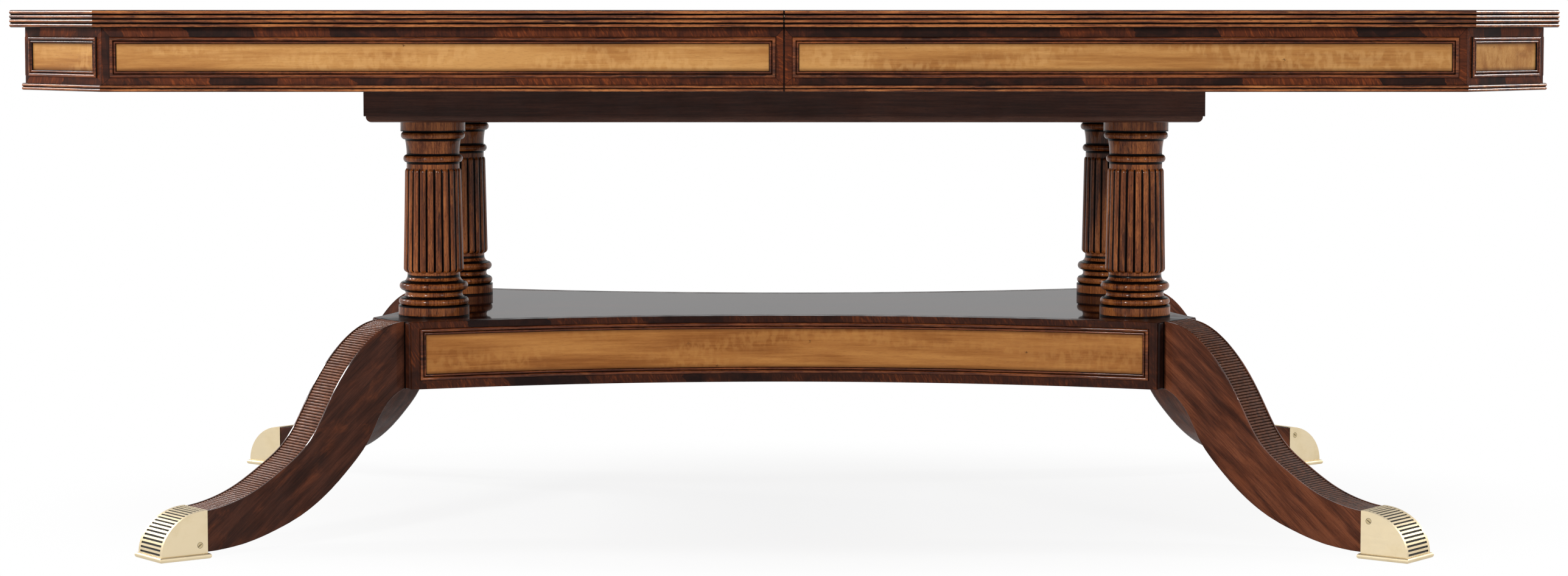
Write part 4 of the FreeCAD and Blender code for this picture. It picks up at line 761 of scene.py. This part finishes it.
def toe_shadows(drawn, point):
    """The slots of a toe cap and the fine gap round its screws."""
    spot = drawn.group(leg_run, {"Point": point})
    x, _, z = drawn.split(point)
    run = drawn.maths("DIVIDE", drawn.maths("SUBTRACT", spot["Out"], TOE_START), TOE_LENGTH)
    lift = drawn.maths("DIVIDE", drawn.maths("SUBTRACT", z, TOE_FOOT), TOE_RISE)
    bulge = drawn.weigh(run, run, lift, lift)
    inside = drawn.maths("LESS_THAN", spot["Across"], SLOT_HALF)
    above = drawn.maths("GREATER_THAN", lift, 0.0)
    slots = drawn.maths("MULTIPLY", drawn.maths("MULTIPLY", inside, above),
                        drawn.rise(bulge, *SLOT_FLOOR, 1.0, 0.0))
    along = drawn.maths("SUBTRACT", spot["Out"], TOE_START + SCREW_INSET)
    level = drawn.pick(drawn.maths("GREATER_THAN", x, 0.0), SCREW_LEVELS[0], SCREW_LEVELS[1])
    high = drawn.maths("SUBTRACT", z, level)
    away = drawn.maths("SQRT", drawn.weigh(along, along, high, high))
    from_rim = drawn.apart(away, SCREW_RADIUS)
    return drawn.maths("MAXIMUM", slots, drawn.rise(from_rim, *SCREW_GAP, 0.85, 0.0))


def screw_shadows(drawn, point):
    """The slot across a toe's screw."""
    across = drawn.group(leg_run, {"Point": point})["Across"]
    return drawn.rise(across, *SCREW_SLOT, 1.0, 0.0)


def rubbed_metal(name, colour, dull, roughness, shadows=None):
    """A rubbed metal, duller in places, with painted shade in its slots."""
    material, drawn, shader = start_material(name)
    point = drawn.place()
    brushed = drawn.noise(drawn.stretch(point, (60, 60, 260)), 1.0, 3.0, 0.6)
    cloud = drawn.noise(point, 26.0, 4.0, 0.6)
    body = drawn.blend(drawn.rise(cloud, 0.42, 0.75, 0.0, 0.5), colour, dull)
    rough = drawn.rise(drawn.pick(0.5, brushed, cloud), 0.3, 0.7, *roughness)
    shader.inputs["Metallic"].default_value = 1.0
    if shadows:
        # Painted shade: the slots and screw gaps go near black and dull
        black = shadows(drawn, point)
        body = drawn.blend(black, body, tint(16, 13, 9))
        rough = drawn.maths("MAXIMUM", rough, drawn.maths("MULTIPLY", black, 0.8))
        drawn.feed(shader.inputs["Metallic"], drawn.maths("SUBTRACT", 1.0, black))
    drawn.feed(shader.inputs["Base Color"], body)
    drawn.feed(shader.inputs["Roughness"], rough)
    raise_surface(drawn, shader, brushed, 0.08, 0.0002)
    return material


def select_only(piece):
    """Select one object and nothing else."""
    bpy.ops.object.select_all(action="DESELECT")
    piece.select_set(True)
    bpy.context.view_layer.objects.active = piece


def copy_of(node):
    """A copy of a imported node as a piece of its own, with its points merged and its curves smooth."""
    select_only(frame["nodes"][node])
    bpy.ops.object.duplicate()
    piece = bpy.context.object
    piece.name = node + "_finished"
    body = piece["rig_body"]
    for key in list(piece.keys()):
        del piece[key]
    bpy.ops.mesh.customdata_custom_splitnormals_clear()
    bpy.ops.object.mode_set(mode="EDIT")
    bpy.ops.mesh.select_all(action="SELECT")
    bpy.ops.mesh.remove_doubles(threshold=MERGE_DISTANCE)
    bpy.ops.object.mode_set(mode="OBJECT")
    bpy.ops.object.shade_smooth_by_angle(angle=CURVE_ANGLE)
    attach(piece, body)
    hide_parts(node)
    return piece


def bevel_edges(piece, width, segments):
    """Bevel a piece's sharp edges."""
    bpy.ops.object.modifier_add(type="BEVEL")
    bevel = piece.modifiers[-1]
    bevel.width = width
    bevel.segments = segments
    bevel.limit_method = "ANGLE"
    bevel.angle_limit = EDGE_ANGLE
    bpy.ops.object.modifier_apply(modifier=bevel.name)


def ease_edges(piece, width):
    """Take the sharpness off a piece's edges."""
    select_only(piece)
    bpy.ops.object.mode_set(mode="EDIT")
    bpy.ops.mesh.select_all(action="SELECT")
    bpy.ops.mesh.dissolve_limited(angle_limit=FLAT_ANGLE)
    bpy.ops.object.mode_set(mode="OBJECT")
    bevel_edges(piece, width, 2)
    bpy.ops.object.shade_smooth_by_angle(angle=EASED_ANGLE)


def points_of(piece):
    """The places of a piece's points."""
    return np.array([vertex.co for vertex in piece.data.vertices])


def keep_value(piece, name, values):
    """Keep a value for each point of a piece, for its material to read."""
    attribute = piece.data.attributes.new(name, "FLOAT", "POINT")
    attribute.data.foreach_set("value", np.asarray(values, np.float32))


def mark_panels(panels, run, side):
    """Note on each panel or rail of a piece where its middle is along its side, and half its length."""
    middle, half = np.zeros(len(run)), np.zeros(len(run))
    for which in np.unique(side):
        panel = side == which
        low, high = run[panel].min(), run[panel].max()
        middle[panel] = (low + high) / 2
        half[panel] = (high - low) / 2
    keep_value(panels, "panel_middle", middle)
    keep_value(panels, "panel_half", half)


def mark_apron_panels(panels):
    """Mark the panels of a half top: front, back, end and canted corners."""
    x, y, _ = points_of(panels).T
    wide, deep = np.abs(x), np.abs(y)
    gaps = [TOP_HALF_WIDTH - deep, TOP_HALF_LENGTH - wide, (CORNER_SUM - wide - deep) * HALF_ROOT]
    nearest = np.argmin(gaps, axis=0)
    run = np.choose(nearest, [x, y, (wide - deep) * HALF_ROOT])
    mark_panels(panels, run, nearest * 2 + ((nearest != 1) & (y > 0)))


def mark_rail(piece, rail):
    """Mark an apron rail's length, for the mitres of its border; the two corner rails are one piece."""
    x, y, _ = points_of(piece).T
    runs = {"end": y, "corners": (np.abs(x) - np.abs(y)) * HALF_ROOT}
    mark_panels(piece, runs.get(rail, x), (y > 0) & (rail == "corners"))


def mark_platform_panels(panels):
    """Mark the platform's four panels."""
    x, y, _ = points_of(panels).T
    on_end = np.abs(x) > END_HOLLOW[1] - END_HOLLOW[2] - PLATFORM_END_DEPTH
    mark_panels(panels, np.where(on_end, y, x), np.where(on_end, 2 + (x > 0), y > 0))


def leg_axes(corner):
    """Seen from above, a corner's leg: its root, the way out along it and the way across it."""
    east, north = CORNERS[corner]
    root = np.array((east * LEG_ROOT_X, north * LEG_ROOT_Y))
    out = np.array((east * math.cos(LEG_ANGLE), north * math.sin(LEG_ANGLE)))
    return root, out, np.array((-out[1], out[0]))


def shape_ribs(leg, corner):
    """Round the ends of a leg's ribs, note which points are on ribs and how deep, ease its arrises."""
    root, out, sideways = leg_axes(corner)
    select_only(leg)
    bpy.ops.object.mode_set(mode="EDIT")
    for share in RIB_CUTS:
        reach = LEG_INNER_HALF - RIB_END * (1 - share)
        for way in (-1, 1):
            spot = root + sideways * reach * way
            bpy.ops.mesh.select_all(action="SELECT")
            bpy.ops.mesh.bisect(plane_co=(*spot, 0), plane_no=(*sideways, 0))
    bpy.ops.object.mode_set(mode="OBJECT")

    points = points_of(leg)
    along = (points[:, :2] - root) @ out
    across = np.abs((points[:, :2] - root) @ sideways)
    crest = []
    for face in leg.data.polygons:
        corners = list(face.vertices)
        if face.normal.z > 0.2 and across[corners].min() > LEG_INNER_HALF - 2 * HAIR:
            crest += [(along[point], points[point, 2]) for point in corners if along[point] < TOE_START]
    line = np.array(sorted(set((round(a, 5), round(z, 5)) for a, z in crest)))
    upper = np.interp(along, line[:, 0], line[:, 1])
    grid = np.linspace(0, TOE_START, 80)
    slope = np.interp(along, grid, np.gradient(np.interp(grid, line[:, 0], line[:, 1]), grid))
    steep = np.sqrt(1 + slope ** 2)
    depth = (upper - points[:, 2]) / steep
    deepest = RIB_SINK + RIB_DEPTH
    ribbed = (across < LEG_INNER_HALF + 2 * HAIR) & (depth > RIB_SINK * 0.6) & (depth < deepest * 1.3)
    ribbed &= along < TOE_START
    into_end = np.clip((across - LEG_INNER_HALF + RIB_END) / RIB_END, 0, 1)
    lower = np.where(ribbed, (deepest - depth) * (1 - np.sqrt(1 - into_end ** 2)), 0)
    moved = points.copy()
    moved[:, :2] += np.outer(slope / steep * lower, out)
    moved[:, 2] -= lower / steep
    leg.data.vertices.foreach_set("co", moved.ravel())
    leg.data.update()
    keep_value(leg, "ribs", ribbed)
    keep_value(leg, "groove", np.where(ribbed, np.clip((depth + lower - RIB_SINK) / RIB_DEPTH, 0, 1), 0))

    facing = {}
    for face in leg.data.polygons:
        for key in face.edge_keys:
            facing.setdefault(key, []).append(face.normal.copy())
    arrises = []
    for edge in leg.data.edges:
        faces = facing[tuple(sorted(edge.vertices))]
        outside = across[list(edge.vertices)].min() > LEG_HALF_WIDTH - HAIR
        arrises.append(outside and len(faces) == 2 and faces[0].dot(faces[1]) < 0.7)
    select_only(leg)
    bpy.ops.object.mode_set(mode="EDIT")
    bpy.ops.mesh.select_mode(type="EDGE")
    bpy.ops.mesh.select_all(action="DESELECT")
    bpy.ops.object.mode_set(mode="OBJECT")
    leg.data.edges.foreach_set("select", arrises)
    bpy.ops.object.mode_set(mode="EDIT")
    bpy.ops.mesh.bevel(offset=LEG_ARRIS, segments=3, affect="EDGES")
    bpy.ops.object.mode_set(mode="OBJECT")
    bpy.ops.object.shade_smooth_by_angle(angle=EDGE_ANGLE)


def dress(piece, material):
    """Give a piece its material."""
    piece.data.materials.clear()
    piece.data.materials.append(material)


def dress_nodes(material, *names):
    """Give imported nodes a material."""
    for name in names:
        dress(frame["nodes"][name], material)


def add_post_strip(corner, way, material):
    """A flat strip up the shoulder of a corner post; its dark channel is painted shade, laid by the corner
    post's material.
    """
    root, out, sideways = leg_axes(corner)
    spot = root + sideways * way * (LEG_HALF_WIDTH + LEG_SHOULDER * STRIP_PLACE)
    middle = (PLATFORM_HIGH + PLATFORM_LOW) / 2
    height = PLATFORM_HIGH - PLATFORM_LOW - STRIP_SHORT
    bpy.ops.object.select_all(action="DESELECT")
    bpy.ops.mesh.primitive_cube_add(size=1, location=(*spot, middle), scale=(*STRIP_SIZE, height),
                                    rotation=(0, 0, math.atan2(out[1], out[0])))
    strip = bpy.context.object
    strip.name = f"post_strip_{corner}_{'inner' if way > 0 else 'outer'}"
    bpy.ops.object.transform_apply(location=True, rotation=True, scale=True)
    bevel_edges(strip, STRIP_EDGE, 3)
    bpy.ops.object.shade_smooth_by_angle(angle=EDGE_ANGLE)
    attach(strip, "base")
    dress(strip, material)


def finish_tops():
    """Half tops: boards, edging, aprons with their panels and beads."""
    board = top_mahogany()
    rich = (tint(30, 16, 12), tint(52, 26, 18), tint(82, 39, 21), tint(128, 62, 29))
    banding = crossbanding("apron crossbanding", edge_run, length=0.1, colours=rich, mitred=True)
    edging = rim_wood("reeded edging", 0.0, EDGE_REED_DEPTH)
    foot = rim_wood("foot beading", APRON_SETBACK - FOOT_BEAD_PROJECTION, FOOT_BEAD_DEPTH)
    honey = (tint(142, 93, 47), tint(163, 113, 61), tint(180, 132, 76), tint(124, 78, 38))
    panel = satinwood("apron satinwood", edge_run, APRON_PANEL_MIDDLE, APRON_PANEL_HALF,
                      honey, tint(200, 155, 98))
    bead = panel_beading("apron beading", edge_run)
    for half in ("left", "right"):
        piece = copy_of(f"top_board_{half}")
        ease_edges(piece, BOARD_EDGE)
        dress(piece, board)
        for rail in ("front", "back", "end", "corners"):
            piece = copy_of(f"apron_{rail}_{half}")
            ease_edges(piece, RAIL_EDGE)
            mark_rail(piece, rail)
            dress(piece, banding)
        piece = copy_of(f"apron_panels_{half}")
        mark_apron_panels(piece)
        dress(piece, panel)
        dress_nodes(edging, f"top_edging_{half}")
        dress_nodes(foot, f"apron_foot_beads_{half}")
        dress_nodes(bead, f"apron_panel_beads_{half}")


def finish_bearer():
    """The dark box under the top, the slides in it, and the platform's floor in the same dark wood."""
    box_colours = (tint(46, 25, 18), tint(59, 33, 25), tint(76, 44, 33), tint(32, 17, 13))
    lip_colours = (tint(60, 36, 28), tint(76, 48, 38), tint(94, 61, 48), tint(44, 25, 20))
    dark = bearer_wood("dark bearer wood", box_colours)
    lip = bearer_wood("bearer lip wood", lip_colours)
    for name in ("front", "back", "end_left", "end_right", "floor"):
        piece = copy_of(f"bearer_{name}")
        ease_edges(piece, BEARER_EDGE)
        dress(piece, lip if name == "floor" else dark)
    dress_nodes(beech(), "slide_guides", "slide_runners_left", "slide_runners_right")
    dress_nodes(dark, "platform_floor")


def finish_base():
    """Columns, platform and legs."""
    column, leg_wood = column_mahogany(), leg_mahogany()
    deep = (tint(24, 12, 10), tint(40, 20, 14), tint(60, 29, 17), tint(102, 50, 24))
    strip_wood = crossbanding("post strip mahogany", platform_run, length=0.2, colours=deep)
    for corner in CORNERS:
        dress_nodes(column, f"column_{corner}")
        leg = copy_of(f"leg_{corner}")
        shape_ribs(leg, corner)
        dress(leg, leg_wood)
        for way in (-1, 1):
            add_post_strip(corner, way, strip_wood)
    banding = crossbanding("platform crossbanding", platform_run, length=0.13, colours=deep)
    for name in ("rail_front", "rail_back", "rail_left", "rail_right"):
        piece = copy_of(f"platform_{name}")
        ease_edges(piece, RAIL_EDGE)
        dress(piece, banding)
    piece = copy_of("platform_corner_posts")
    ease_edges(piece, RAIL_EDGE)
    banding = crossbanding("corner post crossbanding", platform_run, length=0.13, colours=deep,
                           channel_shade=True)
    dress(piece, banding)
    dress(copy_of("platform_top"), platform_mahogany())
    piece = copy_of("platform_panels")
    mark_platform_panels(piece)
    # A darker copy of the apron's satinwood: painted shade, as the top overhangs the platform
    shaded_honey = (tint(132, 80, 36), tint(156, 102, 51), tint(172, 118, 62), tint(110, 64, 30))
    panel = satinwood("platform satinwood", platform_run, PLATFORM_PANEL_MIDDLE, PLATFORM_PANEL_HALF,
                      shaded_honey, tint(180, 128, 70))
    dress(piece, panel)
    dress_nodes(panel_beading("platform beading", platform_run), "platform_panel_beads")


def finish_metal():
    """Brass toes and catches, steel fasteners."""
    pale, worn = tint(212, 196, 164), tint(192, 174, 136)
    toe_brass = rubbed_metal("toe brass", pale, worn, (0.42, 0.54), toe_shadows)
    screw_brass = rubbed_metal("screw brass", worn, tint(170, 150, 108), (0.25, 0.4), screw_shadows)
    brass = rubbed_metal("plain brass", pale, worn, (0.2, 0.34))
    steel = rubbed_metal("steel", tint(172, 172, 170), tint(120, 118, 114), (0.3, 0.5))
    for corner in CORNERS:
        cap = copy_of(f"toe_cap_{corner}")
        ease_edges(cap, TOE_EDGE)
        dress(cap, toe_brass)
    dress_nodes(screw_brass, "toe_cap_screws")
    dress_nodes(brass, "alignment_pins", "catch_plates", "catch_keepers", "catch_lever_front",
                "catch_lever_back")
    dress_nodes(steel, "tie_rods", "tie_rod_nuts", "leg_bolts", "leg_bolt_nuts", "runner_screws_left",
                "runner_screws_right")


def seen_rays(drawn):
    """1 for rays that show the background: straight to the camera, or by way of metal and polish."""
    rays = drawn.add("ShaderNodeLightPath").outputs
    mirrored = drawn.maths("MAXIMUM", rays["Is Glossy Ray"], rays["Is Transmission Ray"])
    return drawn.maths("MAXIMUM", rays["Is Camera Ray"], mirrored)


def light_world(fill):
    """A white background with a softer fill of light from all round."""
    world = bpy.data.worlds.new("studio")
    bpy.context.scene.world = world
    world.use_nodes = True
    world.node_tree.nodes.clear()
    drawn = Tree(world.node_tree)
    strength = drawn.pick(seen_rays(drawn), fill, 1.0)
    background = drawn.add("ShaderNodeBackground", {"Color": (1, 1, 1, 1), "Strength": strength})
    drawn.add("ShaderNodeOutputWorld", {"Surface": background.outputs["Background"]})


def lay_floor():
    """A white floor that keeps the table's shadow and runs into the background further out."""
    bpy.ops.object.select_all(action="DESELECT")
    bpy.ops.mesh.primitive_plane_add(size=60)
    floor = bpy.context.object
    floor.name = "studio_floor"
    material, drawn = bare_material("studio floor")
    paint = drawn.add("ShaderNodeBsdfDiffuse", {"Color": (0.9, 0.9, 0.9, 1)})
    glow = drawn.add("ShaderNodeEmission", {"Color": (1, 1, 1, 1), "Strength": 1.0})
    middle = drawn.stretch(drawn.place(), (0.62, 1.0, 1.0))
    away = drawn.add("ShaderNodeVectorMath", {0: middle}, operation="LENGTH").outputs["Value"]
    shine = drawn.rise(away, 0.3, 0.85, 0.85, 1.0)
    mix = drawn.add("ShaderNodeMixShader", {"Fac": drawn.maths("MULTIPLY", seen_rays(drawn), shine)})
    drawn.feed(mix.inputs[1], paint.outputs["BSDF"])
    drawn.feed(mix.inputs[2], glow.outputs["Emission"])
    drawn.add("ShaderNodeOutputMaterial", {"Surface": mix.outputs["Shader"]})
    floor.data.materials.append(material)


def hang_lamp(name, spot, aim, size, power):
    """A soft box at a spot, turned towards its aim."""
    bpy.ops.object.select_all(action="DESELECT")
    bpy.ops.object.light_add(type="AREA", location=spot)
    lamp = bpy.context.object
    lamp.name = name
    lamp.data.shape = "RECTANGLE"
    lamp.data.size, lamp.data.size_y = size
    lamp.data.energy = power
    across = [stop - start for start, stop in zip(spot, aim)]
    flat = math.hypot(across[0], across[1])
    lamp.rotation_euler = (math.atan2(flat, -across[2]), 0, math.atan2(-across[0], across[1]))


def light_studio():
    """Low key from the front left, fill from the front right, strips beyond the ends, a box overhead."""
    light_world(ROUND_LIGHT)
    lay_floor()
    hang_lamp("key softbox", (-2.6, -4.4, 1.75), (0, 0, 0.5), (0.7, 0.6), 146)
    hang_lamp("fill softbox", (3.0, -4.4, 1.5), (0, 0, 0.5), (0.7, 0.6), 62)
    hang_lamp("overhead softbox", (0.0, -0.3, 3.6), (0, 0, 0.5), (1.4, 0.6), 36)
    hang_lamp("left strip", (-3.4, 0.22, 1.86), (-0.9, -0.5, 0.7), (0.4, 1.1), 46)
    hang_lamp("left back strip", (-2.9, 1.2, 1.5), (-0.7, -0.4, 0.3), (0.3, 0.8), 24)
    hang_lamp("right strip", (3.4, 0.22, 1.58), (0.9, -0.5, 0.7), (0.4, 0.55), 40)


def set_camera():
    """Front view from about the height of the top, just beside the joint of the half tops."""
    tilt = math.radians(90 - CAMERA_PITCH)
    bpy.ops.object.camera_add(location=CAMERA_PLACE, rotation=(tilt, 0, math.radians(CAMERA_TURN)))
    camera = bpy.context.object
    camera.data.lens = CAMERA_LENS
    camera.data.sensor_width = 36
    camera.data.shift_y = CAMERA_SHIFT
    camera.data.clip_end = 200
    bpy.context.scene.camera = camera


finish_tops()
finish_bearer()
finish_base()
finish_metal()
light_studio()
set_camera()
bpy.context.scene.view_settings.view_transform = "Standard"
